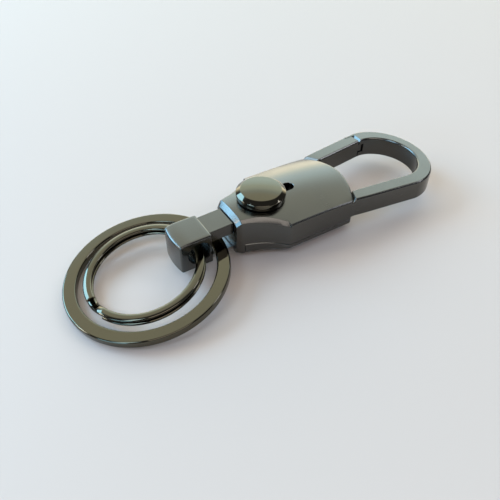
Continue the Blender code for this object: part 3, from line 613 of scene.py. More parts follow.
def loop_inner_y(x):
    """Inner face of an arm at x."""
    s = sizes()
    part = min((x - body_end_x) / (loop_wide_x - body_end_x), 1.0)
    return s.loop_inner_start + (s.loop_inner_wide - s.loop_inner_start) * part


def bar_ring(outer, inner, top=loop_top):
    """A bar section with chamfered edges between an outer and an inner plan point."""
    edge = loop_edge_chamfer
    outer, inner = Vector((*outer, 0.0)), Vector((*inner, 0.0))
    width = (outer - inner).length
    across = (outer - inner) / width
    corners = [(width, top - edge), (width - edge, top), (edge, top), (0.0, top - edge),
               (0.0, loop_bottom + edge), (edge, loop_bottom), (width - edge, loop_bottom), (width, loop_bottom + edge)]
    return [(*(inner + across * reach).xy, height) for reach, height in fillet(corners, 1.2 * edge, 4)]


def arm_start(side, gap):
    """Plan points, outer and inner, where an arm meets the arc at the plate's end."""
    return [(bulged_x(body_end_x, y) + gap, side * y) for y in (sizes().loop_outer_start, sizes().loop_inner_start)]


def arm_rise(reach):
    """Plan points of the near arm's first slope, which turns a little away from the plate's arc as it rises."""
    (outer_x, outer_y), (inner_x, inner_y) = arm_start(-1, root_gap)
    return (outer_x + reach, outer_y), (inner_x + root_turn_share * reach, inner_y)


def loop_rings():
    """Sections of the loop's bar, from inside the body's side, along the near arm and round to the nose."""
    s = sizes()
    (outer_x, _), inner = arm_start(-1, -root_blend)
    foot = loop_top - root_rise
    rings = [bar_ring((outer_x, edge_round - s.body_half_width), inner, top=root_blend_top),
             bar_ring(*arm_start(-1, -root_overlap), top=root_blend_top),
             bar_ring(*arm_rise(0.0), top=foot),
             bar_ring(*arm_rise(slope_ease), top=foot + slope_ease),
             bar_ring(*arm_rise(root_rise), top=loop_top - slope_ease / 2),
             bar_ring(*arm_rise(root_rise + 2 * slope_ease))]
    for i in range(1, arm_steps + 1):
        x = body_end_x + (loop_wide_x - body_end_x) * i / arm_steps
        rings.append(bar_ring((x, -loop_outer_y(x)), (x, -loop_inner_y(x))))
    for i in range(1, loop_end_steps):
        turn = -math.pi / 2 + math.pi * i / loop_end_steps
        outer = (loop_wide_x + (loop_outer_end_x - loop_wide_x) * math.cos(turn), s.loop_outer_wide * math.sin(turn))
        inner = (loop_wide_x + (loop_inner_end_x - loop_wide_x) * math.cos(turn), s.loop_inner_wide * math.sin(turn))
        rings.append(bar_ring(outer, inner))
    lip_x = nose_x - nose_lip_length
    rings.append(bar_ring((nose_x, loop_outer_y(nose_x)), (nose_x, loop_inner_y(nose_x))))
    rings.append(bar_ring((lip_x - nose_slant, loop_outer_y(lip_x)), (lip_x, loop_inner_y(lip_x))))
    return rings


def nose_lip_inner_y():
    """Inner face of the lip on the nose's outer side."""
    return loop_outer_y(nose_x) - nose_lip_wall


def nose_notch():
    """Clears the gate's place inside the lip on the nose's outer side."""
    return box(nose_x - nose_lip_length - overrun, nose_x, loop_inner_y(nose_x) - overrun, nose_lip_inner_y(),
               loop_bottom - overrun, loop_top + overrun)


def nose_bevel():
    """Slopes the nose's face towards the gate down from its top."""
    low, high = loop_top - nose_facet, loop_top + overrun
    reach = high - low
    profile = [(nose_x - overrun, low - overrun / 2), (nose_x, low), (nose_x + reach, high), (nose_x - overrun, high)]
    return skin([[(x, y, z) for x, z in profile] for y in (loop_inner_y(nose_x) - overrun, nose_lip_inner_y())])


def slot_outline(half):
    """Plan points of the slot, with a round end at each end."""
    outline = []
    for middle, start in ((slot_end_x - slot_width / 2, -90.0), (slot_back_x + slot_width / 2, 90.0)):
        for i in range(slot_arc_steps + 1):
            turn = math.radians(start + 180.0 * i / slot_arc_steps)
            outline.append((middle + half * math.cos(turn), half * math.sin(turn)))
    return outline


def slot_cutter():
    """The slot in the top plate, with a small chamfer that follows the crown."""
    half = slot_width / 2
    narrow, wide = slot_outline(half), slot_outline(half + 2 * slot_flare)
    return skin([[(x, y, roof_z - overrun) for x, y in narrow],
                 [(x, y, crown_z(x, y) - slot_flare) for x, y in narrow],
                 [(x, y, crown_z(x, y) + slot_flare) for x, y in wide],
                 [(x, y, crown_top + overrun) for x, y in wide]])


def nose_slot():
    """The slot in the nose that takes the gate's lap."""
    deep = nose_x + gate_lap_length + gate_lap_play
    inner, outer = loop_inner_y(nose_x), loop_outer_y(nose_x) - gate_lap_wall
    half = gate_lap_height / 2 + gate_lap_play
    return box(nose_x - overrun, deep, inner - overrun, outer, gate_lap_z - half, gate_lap_z + half)


def build_casting():
    """The upper casting with its cavities, its slot and the loop."""
    body = mesh_object("casting", skin([casting_ring(*row) for row in body_stations()], ribbed=True))
    rows = neck_profile()
    rows.append((neck_wall + fit_gap, scoop_half_width(neck_wall + fit_gap), 0.0))
    wall = [underside_ring(x, half + cover_inset, seam_z + fit_gap, inset, min(inset, underside_chamfer))
            for x, half, inset in rows]
    work(body, skin(wall), "UNION")
    outer = gate_pin_y + gate_barrel_radius + fit_gap
    side = bolt_half_width + fit_gap
    for cutter in (
        box(cavity_front_x, cavity_back_x, -cavity_half_width, cavity_half_width, seam_z - overrun, roof_z),
        box(neck_wall, cavity_front_x + overrun, -side, side, -underside_depth - overrun, bolt_way_top),
        box(-overrun, neck_wall + overrun, -side, side, -underside_depth - overrun, bolt_nose_top + fit_gap),
        box(-overrun, root_length + fit_gap, -root_half_width - fit_gap, root_half_width + fit_gap,
            root_bottom - fit_gap, root_top + fit_gap),
        rod((hook_pin_x, 0.0, bolt_way_top - overrun), hook_pin_radius + fit_gap,
            hook_pin_bore_top - bolt_way_top + overrun),
        slot_cutter(),
        rod((gate_spring_x, gate_spring_start_y - gate_spring_hole_back, gate_spring_z), gate_spring_hole_radius,
            gate_spring_hole_depth, "Y"),
        box(gate_pocket_back_x, body_end_x + overrun, gate_pocket_inner, outer, loop_bottom - fit_gap,
            gate_root_top + fit_gap),
    ):
        work(body, cutter)
    loop = mesh_object("loop_bar", skin(loop_rings()))
    for cutter in (nose_notch(), nose_slot(), nose_bevel()):
        work(loop, cutter)
    bar = bmesh.new()
    bar.from_mesh(loop.data)
    bpy.data.objects.remove(loop)
    work(body, bar, "UNION")
    place(body, "body", "satin_nickel", ["hook_body"])


def build_cover():
    """The back shell with the bolt's way, the nut's pocket and the screw holes."""
    top = seam_z - seam_gap
    rings = [underside_ring(x, half, top, inset, inset)
             for x, half, _, inset in body_stations(cover_front_x - seam_gap)]
    cover = mesh_object("back_shell", skin(rings, ribbed=True))
    side = bolt_half_width + fit_gap
    high = seam_z + overrun
    work(cover, box(cover_front_x - overrun, bolt_slot_end_x, -side, side, -underside_depth - overrun, high))
    work(cover, box(bolt_slot_end_x - overrun, nut_pocket_end_x, -side, side, nut_pocket_floor, high))
    head, shank = screw_head_radius + screw_play, screw_shank_radius + fit_gap
    for x, y in screw_places:
        face = screw_face_z(y)
        work(cover, turned([(0, 0), (head, 0), (head, overrun), (shank, overrun + screw_cone_height),
                            (shank, 3 * overrun), (0, 3 * overrun)], (x, y, face - overrun)))
    place(cover, "body", "satin_nickel", ["back_cover"])


def screw_face_z(y):
    """Height of a screw's face, sunk in the underside."""
    return underside_z(abs(y) + screw_head_radius) + screw_sink


def build_screws():
    """Four countersunk screws with a rounded cross recess."""
    for spot, (x, y) in enumerate(screw_places, 1):
        face = screw_face_z(y)
        tall = screw_tip_z - face
        profile = [(0, 0), (screw_head_radius, 0), (screw_shank_radius, screw_cone_height),
                   (screw_shank_radius, tall - screw_tip_chamfer), (screw_shank_radius - screw_tip_chamfer, tall),
                   (0, tall)]
        profile = fillet(profile, screw_edge_round, 3, closed=False)
        screw = mesh_object(f"countersunk_screw_{spot}", turned(profile, (x, y, face)))
        for square_turn in (0.0, 90.0):
            turn = math.radians(recess_turn_deg + square_turn + recess_next_turn_deg * spot)
            arm = box(-recess_half_length, recess_half_length, -recess_half_width, recess_half_width, -overrun,
                      recess_depth)
            bmesh.ops.rotate(arm, verts=arm.verts, matrix=Matrix.Rotation(turn, 3, "Z"))
            bmesh.ops.translate(arm, verts=arm.verts, vec=(x, y, face))
            work(screw, arm)
        place(screw, "body", "plain_steel", [f"cover_screw_{spot}"])


def gate_start(rise):
    """Plan points of the gate's start, cut back on the inner side so that it clears the plate as it swings."""
    (outer_x, outer_y), (inner_x, inner_y) = arm_start(1, gate_start_gap + rise)
    return (outer_x, outer_y), (inner_x + gate_start_relief, inner_y)


def build_gate():
    """The gate with its barrel, its lap and the bore for its pin."""
    tip_x = nose_x - fit_gap
    foot = loop_top - gate_start_rise
    rings = [bar_ring(*gate_start(0.0), top=foot),
             bar_ring(*gate_start(slope_ease), top=foot + slope_ease),
             bar_ring(*gate_start(gate_start_rise), top=loop_top - slope_ease / 2),
             bar_ring(*gate_start(gate_start_rise + 2 * slope_ease))]
    for i in range(1, arm_steps + 1):
        x = body_end_x + (tip_x - body_end_x) * i / arm_steps
        slant = nose_slant if i == arm_steps else 0.0
        rings.append(bar_ring((x - slant, loop_outer_y(x)), (x, loop_inner_y(x))))
    gate = mesh_object("spring_gate", skin(rings))
    root = [(body_end_x, sizes().loop_inner_start), (body_end_x, gate_pin_y + gate_barrel_radius)]
    for i in range(gate_barrel_steps + 1):
        turn = math.radians(90.0 + gate_barrel_turn_deg * i / gate_barrel_steps)
        root.append((gate_pin_x + gate_barrel_radius * math.cos(turn),
                     gate_pin_y + gate_barrel_radius * math.sin(turn)))
    work(gate, prism(root, loop_bottom, gate_root_top), "UNION")
    lap_outer = loop_outer_y(nose_x) - gate_lap_wall - fit_gap
    lap = box(tip_x - gate_lap_length, nose_x + gate_lap_length, loop_inner_y(nose_x) + loop_edge_chamfer, lap_outer,
              gate_lap_z - gate_lap_height / 2, gate_lap_z + gate_lap_height / 2)
    work(gate, soften(lap, gate_lap_round, 2), "UNION")
    work(gate, box(nose_x - nose_lip_length - nose_slant - fit_gap / 2, nose_x + overrun,
                   nose_lip_inner_y() - fit_gap / 2, sizes().loop_outer_wide + overrun,
                   loop_bottom - overrun, loop_top + overrun))
    work(gate, rod((gate_pin_x, gate_pin_y, loop_bottom - overrun), gate_pin_bore,
                   gate_root_top - loop_bottom + 2 * overrun))
    place(gate, "gate_arm", "satin_nickel", ["gate"])


def block_ring(x, inset):
    """One rounded cross section of the eye block, bent with its bulged front."""
    corner = max(block_round - inset, least_corner)
    half = block_half_width - inset - corner
    along = -1 - 2 * (x + tongue_length) / block_length
    top, low = block_top - inset - corner, block_bottom + inset + corner
    points = []
    for side, middle, start in ((1, low, -90.0), (1, top, 0.0), (-1, top, 90.0), (-1, low, 180.0)):
        for k in range(block_corner_steps + 1):
            turn = math.radians(start + 90.0 * k / block_corner_steps)
            points.append((side * half + corner * math.cos(turn), middle + corner * math.sin(turn)))
        if start in (0.0, 180.0):
            height = points[-1][1]
            points += [(side * half * (1 - 2 * i / block_across_steps), height) for i in range(1, block_across_steps)]
    ring = []
    for y, z in points:
        share_out = y / block_half_width
        drop = block_crown * max(along, 0.0) ** 3 + block_side_crown * share_out ** 2 if z > 0 else 0.0
        bulge = block_bulge * (1 - share_out ** 2) * (1 + along) / 2
        ring.append((x - bulge, y, z - drop))
    return ring


def build_eye_block():
    """The square block with the eye across it, and its tongue."""
    back = -tongue_length
    front = back - block_length
    turns = [math.pi / 2 * i / block_corner_steps for i in range(block_corner_steps + 1)]
    stations = [(back - block_round * (1 - math.cos(turn)), block_round * (1 - math.sin(turn))) for turn in turns]
    first, last = back - block_round, front + block_round
    stations += [(first + (last - first) * i / block_along_steps, 0.0) for i in range(1, block_along_steps)]
    stations += [(front + block_round * (1 - math.cos(turn)), block_round * (1 - math.sin(turn)))
                 for turn in turns[::-1]]
    block = mesh_object("eye_block", skin([block_ring(*row) for row in stations], ribbed=True))
    tongue = box(back - block_length / 3, -tongue_seam, -tongue_half_width, tongue_half_width, tongue_bottom,
                 tongue_top)
    for vert in tongue.verts:
        if vert.co.x > back and vert.co.z > tongue_bottom:
            vert.co.z += tongue_rise
    work(block, soften(tongue, tongue_round, 3), "UNION")
    work(block, box(-fit_gap * 3, root_length, -root_half_width, root_half_width, root_bottom, root_top), "UNION")
    mouth = block_half_width + eye_flare
    profile = [(0, 0), (eye_radius + 2 * eye_flare, 0), (eye_radius, 2 * eye_flare),
               (eye_radius, 2 * mouth - 2 * eye_flare), (eye_radius + 2 * eye_flare, 2 * mouth), (0, 2 * mouth)]
    work(block, turned(profile, (eye_x, -mouth, eye_z), eye_segments, "Y"))
    side = bolt_half_width + fit_gap
    work(block, box(bolt_tip_x - fit_gap, back + overrun, -side, side, block_bottom - overrun, bolt_nose_top + fit_gap))
    work(block, rod((hook_pin_x, 0.0, root_bottom - overrun), hook_pin_radius + fit_gap, root_top + 2 * overrun))
    place(block, "body", "satin_nickel", ["eye_hook"])


def build_knob():
    """The polished thumb knob, turned, with a saddle under it that clears the crown."""
    s = sizes()
    low = knob_skirt_z
    widest = s.knob_top_z - s.knob_rim_height
    profile = [(0.0, low), (knob_waist_radius, low)]
    for k in range(-knob_skirt_steps, 1):
        turn = math.pi / 2 * k / knob_skirt_steps
        inward = (s.knob_radius - knob_waist_radius) * (1 - math.cos(turn))
        profile.append((s.knob_radius - inward, widest + knob_skirt_height * math.sin(turn)))
    dome = [(s.knob_flat_radius * part, s.knob_top_z + s.knob_dome * (1 - part ** 2))
            for part in (i / knob_dome_steps for i in range(knob_dome_steps - 1, -1, -1))]
    rim = [profile[-1], (s.knob_radius, widest + knob_rim_wall), (s.knob_flat_radius, s.knob_top_z), dome[0]]
    profile += fillet(rim, (0.0, knob_rim_soft, knob_rim_crisp, 0.0), 5, closed=False)[1:-1] + dome
    knob = mesh_object("knob", turned(profile, (knob_x, 0.0, 0.0), knob_segments))
    reach = saddle_reach_share * s.knob_radius
    curve = [reach - 2 * reach * i / saddle_steps for i in range(saddle_steps + 1)]
    saddle = [(reach, crown_top - 4 * overrun)]
    saddle += [(y, crown_top + knob_lift - y ** 2 / (2 * crown_radius_across)) for y in curve]
    saddle += [(-reach, crown_top - 4 * overrun)]
    work(knob, skin([[(knob_x + side * reach, y, z) for y, z in saddle] for side in (-1, 1)]))
    work(knob, rod((knob_x, 0.0, low - overrun), stem_radius + fit_gap, stem_top + fit_gap - low + overrun))
    place(knob, "slide", "polished_nickel", ["thumb_knob"], 30)


def rounded_section(width, height):
    """The flat ring's section, a rectangle with rounded corners."""
    corners = ((width / 2, height / 2, 0), (-width / 2, height / 2, 90),
               (-width / 2, -height / 2, 180), (width / 2, -height / 2, 270))
    section = []
    for wide, high, start in corners:
        wide -= math.copysign(ring_corner, wide)
        high -= math.copysign(ring_corner, high)
        for k in range(ring_corner_steps + 1):
            turn = math.radians(start + 90.0 * k / ring_corner_steps)
            section.append((wide + ring_corner * math.cos(turn), high + ring_corner * math.sin(turn)))
    return section


def oval_section(width, height):
    """The split ring's section, between an oval and a rectangle."""
    section = []
    for i in range(split_wire_sides):
        turn = 2 * math.pi * (i + 0.5) / split_wire_sides
        wide, high = math.cos(turn), math.sin(turn)
        section.append((width / 2 * math.copysign(abs(wide) ** (2 / split_squareness), wide),
                        height / 2 * math.copysign(abs(high) ** (2 / split_squareness), high)))
    return section


def ring_point(centre, tilt, radius, turn, height):
    """A point on a ring whose plane is tilted about y."""
    return centre + Vector((radius * math.cos(turn) * math.cos(tilt) - height * math.sin(tilt),
                            radius * math.sin(turn),
                            radius * math.cos(turn) * math.sin(tilt) + height * math.cos(tilt)))


def ring_centre(section_x, section_z, radius, tilt):
    """The middle of a ring whose section passes through the given place."""
    return Vector((section_x - radius * math.cos(tilt), 0.0, section_z - radius * math.sin(tilt)))


def build_flat_ring():
    """The closed flat ring."""
    s = sizes()
    tilt = math.radians(ring_tilt_deg)
    middle = (s.ring_radius + s.ring_inner_radius) / 2
    centre = ring_centre(ring_section_x, ring_section_z, middle, tilt)
    section = rounded_section(s.ring_radius - s.ring_inner_radius, s.ring_thickness)
    rings = [[ring_point(centre, tilt, middle + wide, 2 * math.pi * i / ring_segments, high) for wide, high in section]
             for i in range(ring_segments)]
    ring = mesh_object("flat_ring", skin(rings, looped=True))
    place(ring, "flat_ring", "polished_nickel", ["outer_ring"])


def split_height(turn_deg, layer):
    """Height of the wire's middle over the ring's plane, as the wire climbs once from turn to turn."""
    part = min(max((turn_deg - split_whole_deg / 2) / split_cross_deg + 0.5, 0.0), 1.0)
    return layer * (2 * part * part * (3 - 2 * part) - 1)


def build_split_ring():
    """The split ring, one flat wire wound twice."""
    s = sizes()
    tilt = math.radians(split_tilt_deg)
    centre = ring_centre(split_section_x, split_section_z, s.split_radius, tilt)
    layer = (s.split_wire_height + split_gap) / 2
    section = oval_section(s.split_wire_width, s.split_wire_height)
    rings = []
    for i in range(split_steps + 1):
        turn_deg = split_whole_deg * i / split_steps
        turn = math.radians(split_end_deg + split_cross_deg / 2 + turn_deg)
        rise = split_height(turn_deg, layer)
        rings.append([ring_point(centre, tilt, s.split_radius + wide, turn, rise + high) for wide, high in section])
    ring = mesh_object("split_ring", soften(skin(rings), split_end_round, 2, 70))
    place(ring, "key_ring", "polished_nickel", ["inner_split_ring"], evened=False)


def coil(start, axis, reach, radius, wire_radius, turns):
    """A compression spring with a flat turn at each end."""
    steps = int((turns + 2) * coil_turn_steps)
    first = 2 * wire_radius + coil_self_gap
    along = Vector((1, 0, 0)) if axis == "X" else Vector((0, 1, 0))
    aside = Vector((0, 1, 0)) if axis == "X" else Vector((1, 0, 0))
    points = []
    for i in range(steps + 1):
        turn = (turns + 2) * i / steps
        if turn < 1:
            rise = first * turn
        elif turn > turns + 1:
            rise = reach - first * (turns + 2 - turn)
        else:
            rise = first + (reach - 2 * first) * (turn - 1) / turns
        angle = 2 * math.pi * turn
        points.append(Vector(start) + along * rise + aside * (radius * math.cos(angle))
                      + Vector((0, 0, radius * math.sin(angle))))
    rings = []
    for i, point in enumerate(points):
        ahead = (points[min(i + 1, steps)] - points[max(i - 1, 0)]).normalized()
        side = ahead.cross(along).normalized()
        up = side.cross(ahead).normalized()
        rings.append([point + wire_radius * (math.cos(turn) * side + math.sin(turn) * up)
                      for turn in (2 * math.pi * k / coil_sides for k in range(coil_sides))])
    return skin(rings)


def build_springs():
    """Both springs as round wire."""
    start = (bolt_spring_start_x, 0.0, bolt_spring_z)
    reach = bolt_spring_end_x - bolt_spring_start_x
    spring = mesh_object("slide_spring", coil(start, "X", reach, bolt_spring_radius, bolt_spring_wire,
                                              bolt_spring_turns))
    place(spring, "body", "spring_steel", ["bolt_spring"], 60, evened=False)
    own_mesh(spring)
    start = (gate_spring_x, gate_spring_start_y, gate_spring_z)
    spring = mesh_object("gate_return_spring", coil(start, "Y", gate_spring_reach, gate_spring_radius,
                                                    gate_spring_wire, gate_spring_turns))
    place(spring, "body", "spring_steel", ["gate_spring"], 60, evened=False)
    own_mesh(spring)


def dress_inner_pieces():
    """Gives the pins, the bolt, the stem, the nut, the rod and the carriage of the solids their finishes."""
    slots = dict.fromkeys(("gate_pin", "hook_pin", "knob_stem", "stem_nut", "lock_bolt", "spring_rod"), "plain_steel")
    for name, slot in {**slots, "slide_carriage": "slide_polymer"}.items():
        node = frame["nodes"][name]
        node.data.materials.clear()
        node.data.materials.append(finish_of(slot))


# Finishes

# Grain of each metal: (grain scale, grain depth, amount of hairlines, roughness of handling marks)
metal_grain = {
    "satin_nickel": (7000.0, 0.0000016, 0.25, 0.04),
    "polished_nickel": (2500.0, 0.0000004, 0.25, 0.04),
    "plain_steel": (5000.0, 0.000002, 0.8, 0.06),
    "spring_steel": (5000.0, 0.000001, 0.4, 0.05),
}
hairline_scale = 1100.0
hairline_tint = 0.3
hairline_roughness = 0.10
hairline_depth = 0.15
handling_scale = 150.0
handling_shade = 0.16
handling_tone = 0.75
steel_worn = (0.6, 0.59, 0.57)
spring_tint = (0.5, 0.49, 0.47)
spring_worn = (0.65, 0.64, 0.62)
spring_roughness = 0.22
polymer_grain = 4000.0
polymer_grain_depth = 0.000004
polymer_tone = 1.6
polymer_smudge_roughness = 0.08


class Wiring:
    """Places shader nodes in a tree and joins them."""

    def __init__(self, tree):
        self.tree = tree

    def node(self, kind, values=(), **settings):
        made = self.tree.nodes.new("ShaderNode" + kind)
        for key, value in settings.items():
            setattr(made, key, value)
        for socket, value in dict(values).items():
            if isinstance(value, bpy.types.NodeSocket):
                self.tree.links.new(value, made.inputs[socket])
            else:
                made.inputs[socket].default_value = value
        return made

    def join(self, start, end):
        self.tree.links.new(start, end)

    def math(self, operation, first, second=0.0, third=0.0):
        return self.node("Math", {0: first, 1: second, 2: third}, operation=operation).outputs[0]

    def blend(self, amount, first, second):
        return self.node("Mix", {0: amount, 6: first, 7: second}, data_type="RGBA").outputs[2]

    def effect(self, name, values):
        made = self.node("Group", node_tree=bpy.data.node_groups[name])
        for label, value in values.items():
            made.inputs[label].default_value = value
        return made.outputs


def effect_group(name, inputs, outputs):
    """A shader node group with named number inputs and outputs, with its wiring and its two ends."""
    tree = bpy.data.node_groups.new(name, "ShaderNodeTree")
    for label, default in inputs.items():
        socket = tree.interface.new_socket(label, in_out="INPUT", socket_type="NodeSocketFloat")
        socket.default_value = default
    for label in outputs:
        tree.interface.new_socket(label, in_out="OUTPUT", socket_type="NodeSocketFloat")
    wiring = Wiring(tree)
    return wiring, tree.nodes.new("NodeGroupInput").outputs, tree.nodes.new("NodeGroupOutput").inputs


def object_noise(wiring, scale, detail, stretch=(1.0, 1.0, 1.0), turn=(0.0, 0.0, 0.0)):
    """Noise fixed to the object, which may be stretched and turned into fine lines."""
    spot = wiring.node("TexCoord").outputs["Object"]
    mapped = wiring.node("Mapping", {"Vector": spot, "Rotation": turn, "Scale": stretch}).outputs[0]
    noise = wiring.node("TexNoise", {"Vector": mapped, "Scale": scale, "Detail": detail, "Roughness": 0.55})
    return noise.outputs["Fac"]


def make_effects():
    """The effects that the finishes share."""
    if "bead_grain" in bpy.data.node_groups:
        return
    wiring, given, out = effect_group("bead_grain", {"Scale": 6000.0, "Fleck": 0.5}, ("Height",))
    fine = object_noise(wiring, given["Scale"], 3.0)
    coarse = object_noise(wiring, wiring.math("MULTIPLY", given["Scale"], 0.31), 2.0)
    wiring.join(wiring.math("MULTIPLY_ADD", fine, given["Fleck"], coarse), out["Height"])

    wiring, given, out = effect_group("hairlines", {"Scale": 900.0, "Amount": 1.0}, ("Mask",))
    total = None
    for stretch, turn in (((0.06, 1.0, 1.0), (0.0, 0.0, 0.5)), ((1.0, 0.05, 1.0), (0.0, 0.3, 0.9)),
                          ((0.05, 1.0, 0.4), (0.2, 0.0, -0.7))):
        line = object_noise(wiring, given["Scale"], 1.0, stretch, turn)
        near = wiring.math("ABSOLUTE", wiring.math("SUBTRACT", line, 0.5))
        thin = wiring.node("MapRange", {"Value": near, "From Min": 0.0, "From Max": 0.012, "To Min": 1.0,
                                        "To Max": 0.0}).outputs[0]
        total = thin if total is None else wiring.math("MAXIMUM", total, thin)
    patches = object_noise(wiring, 160.0, 2.0)
    shown = wiring.node("MapRange", {"Value": patches, "From Min": 0.5, "From Max": 0.62}).outputs[0]
    wiring.join(wiring.math("MULTIPLY", wiring.math("MULTIPLY", total, shown), given["Amount"]), out["Mask"])

    wiring, given, out = effect_group("handling", {"Scale": 180.0}, ("Smudge",))
    broad = object_noise(wiring, given["Scale"], 3.0)
    smudge = wiring.node("MapRange", {"Value": broad, "From Min": 0.42, "From Max": 0.68}).outputs[0]
    wiring.join(smudge, out["Smudge"])


def new_material(name):
    """A material with its wiring and its shader."""
    material = bpy.data.materials.new(name)
    material.use_nodes = True
    return material, Wiring(material.node_tree), material.node_tree.nodes["Principled BSDF"]


def add_grain(wiring, shader, height, depth):
    """Gives a material its fine relief."""
    bump = wiring.node("Bump", {"Height": height, "Strength": 1.0, "Distance": depth})
    wiring.join(bump.outputs[0], shader.inputs["Normal"])


def metal(name, tint, worn, roughness, grain, grain_depth, lines, smudge_roughness):
    """A plated or plain metal with grain, fine hairlines and handling marks."""
    material, wiring, shader = new_material(name)
    beads = wiring.effect("bead_grain", {"Scale": grain, "Fleck": 0.6})
    scratch = wiring.effect("hairlines", {"Scale": hairline_scale, "Amount": lines})
    marks = wiring.effect("handling", {"Scale": handling_scale})
    rubbed = wiring.blend(wiring.math("MULTIPLY", scratch["Mask"], hairline_tint), (*tint, 1.0), (*worn, 1.0))
    dull = wiring.math("MULTIPLY", marks["Smudge"], handling_shade)
    toned = wiring.blend(dull, rubbed, (*(handling_tone * c for c in tint), 1.0))
    wiring.join(toned, shader.inputs["Base Color"])
    rough = wiring.math("MULTIPLY_ADD", marks["Smudge"], smudge_roughness, roughness)
    rough = wiring.math("MULTIPLY_ADD", scratch["Mask"], hairline_roughness, rough)
    wiring.join(rough, shader.inputs["Roughness"])
    height = wiring.math("MULTIPLY_ADD", scratch["Mask"], -hairline_depth, beads["Height"])
    add_grain(wiring, shader, height, grain_depth)
    shader.inputs["Metallic"].default_value = 1.0
    material.diffuse_color = (*tint, 1.0)
    return material


def polymer(name, tint, roughness):
    """The moulded black polymer, with a fine grain and handling marks."""
    material, wiring, shader = new_material(name)
    beads = wiring.effect("bead_grain", {"Scale": polymer_grain, "Fleck": 0.4})
    marks = wiring.effect("handling", {"Scale": 2 * handling_scale})
    toned = wiring.blend(marks["Smudge"], (*tint, 1.0), (*(polymer_tone * c for c in tint), 1.0))
    wiring.join(toned, shader.inputs["Base Color"])
    rough = wiring.math("MULTIPLY_ADD", marks["Smudge"], polymer_smudge_roughness, roughness)
    wiring.join(rough, shader.inputs["Roughness"])
    add_grain(wiring, shader, beads["Height"], polymer_grain_depth)
    return material


def finish_of(slot):
    """The material of a slot, made when it is first asked for."""
    if slot in bpy.data.materials and bpy.data.materials[slot].get("keychain_finish"):
        return bpy.data.materials[slot]
    make_effects()
    look = bpy.context.scene.keychain_finish
    for old in [m for m in bpy.data.materials if m.name == slot]:
        old.name = slot + "_plain"
    metals = {
        "satin_nickel": (look.satin, look.satin_worn, look.satin_roughness),
        "polished_nickel": (look.polished, look.polished_worn, look.polished_roughness),
        "plain_steel": (look.steel, steel_worn, look.steel_roughness),
        "spring_steel": (spring_tint, spring_worn, spring_roughness),
    }
    if slot in metals:
        made = metal(slot, *metals[slot], *metal_grain[slot])
    else:
        made = polymer(slot, look.polymer, look.polymer_roughness)
    made["keychain_finish"] = True
    return made


# Studio

# The soft lamps: (name, turn and height of its place in degrees, width, height, colour in the settings, watts)
lamps = (
    ("window_left", 125.0, 29.0, 0.42, 0.42, "window", 5.5),
    ("lamp_left", 154.0, 26.0, 0.16, 0.20, "lamp", 1.15),
    ("window_low", 195.0, 15.0, 0.44, 0.18, "window", 1.9),
    ("window_high", 188.0, 52.0, 0.24, 0.22, "high_window", 1.3),
    ("card_front", -106.0, 50.0, 0.60, 0.30, "card", 1.2),
    ("card_right", -31.0, 34.0, 0.20, 0.20, "side_card", 0.8),
)
lamp_distance = 0.8
lamp_target = Vector((0.0, 0.0, 0.005))

# The light of the tall soft strip behind, from the horizon to overhead: (sine of the height, colour)
strip_steps = (
    (0.00, (0.80, 0.75, 0.62)), (0.12, (0.97, 0.90, 0.70)), (0.20, (1.00, 0.94, 0.73)), (0.25, (0.86, 0.85, 0.71)),
    (0.30, (0.57, 0.69, 0.66)), (0.42, (0.57, 0.71, 0.74)), (0.49, (0.54, 0.66, 0.67)), (0.54, (0.50, 0.57, 0.53)),
    (0.58, (0.47, 0.53, 0.50)), (0.63, (0.335, 0.38, 0.37)), (0.68, (0.325, 0.33, 0.285)), (0.76, (0.315, 0.32, 0.27)),
    (0.86, (0.28, 0.285, 0.25)), (1.00, (0.25, 0.25, 0.23)))
strip_strength = 4.15
strip_side_deg = 145.0
strip_side_middle = 0.02
strip_front_deg = 55.0
dome_shade = (0.027, 0.027, 0.028)

floor_size = 6.0
floor_cells = 8
floor_drop = 0.00002
floor_roughness = 0.55
floor_gloss = 0.35


def softbox(name, spot, wide, tall, tint, watts):
    """A rectangular soft lamp that faces the keychain."""
    data = bpy.data.lights.new(name, "AREA")
    data.shape, data.size, data.size_y = "RECTANGLE", wide, tall
    data.color, data.energy = tint, watts
    lamp = bpy.data.objects.new(name, data)
    bpy.context.scene.collection.objects.link(lamp)
    lamp.location = spot
    lamp.rotation_euler = (lamp_target - spot).to_track_quat("-Z", "Y").to_euler()


def build_floor(tint):
    """The plain pale floor."""
    bpy.ops.mesh.primitive_grid_add(x_subdivisions=floor_cells, y_subdivisions=floor_cells, size=floor_size,
                                    location=(0.0, 0.0, -floor_drop))
    floor = bpy.context.object
    floor.name = "studio_floor"
    material, _, shader = new_material("studio_floor")
    for socket, value in (("Base Color", (*tint, 1.0)), ("Roughness", floor_roughness),
                          ("Specular IOR Level", floor_gloss)):
        shader.inputs[socket].default_value = value
    floor.data.materials.append(material)


def heading(azimuth_deg, elevation_deg):
    """The direction at the given angle from +x round towards +y and at the given height over the horizon."""
    turn, rise = math.radians(azimuth_deg), math.radians(elevation_deg)
    return (math.cos(turn) * math.cos(rise), math.sin(turn) * math.cos(rise), math.sin(rise))


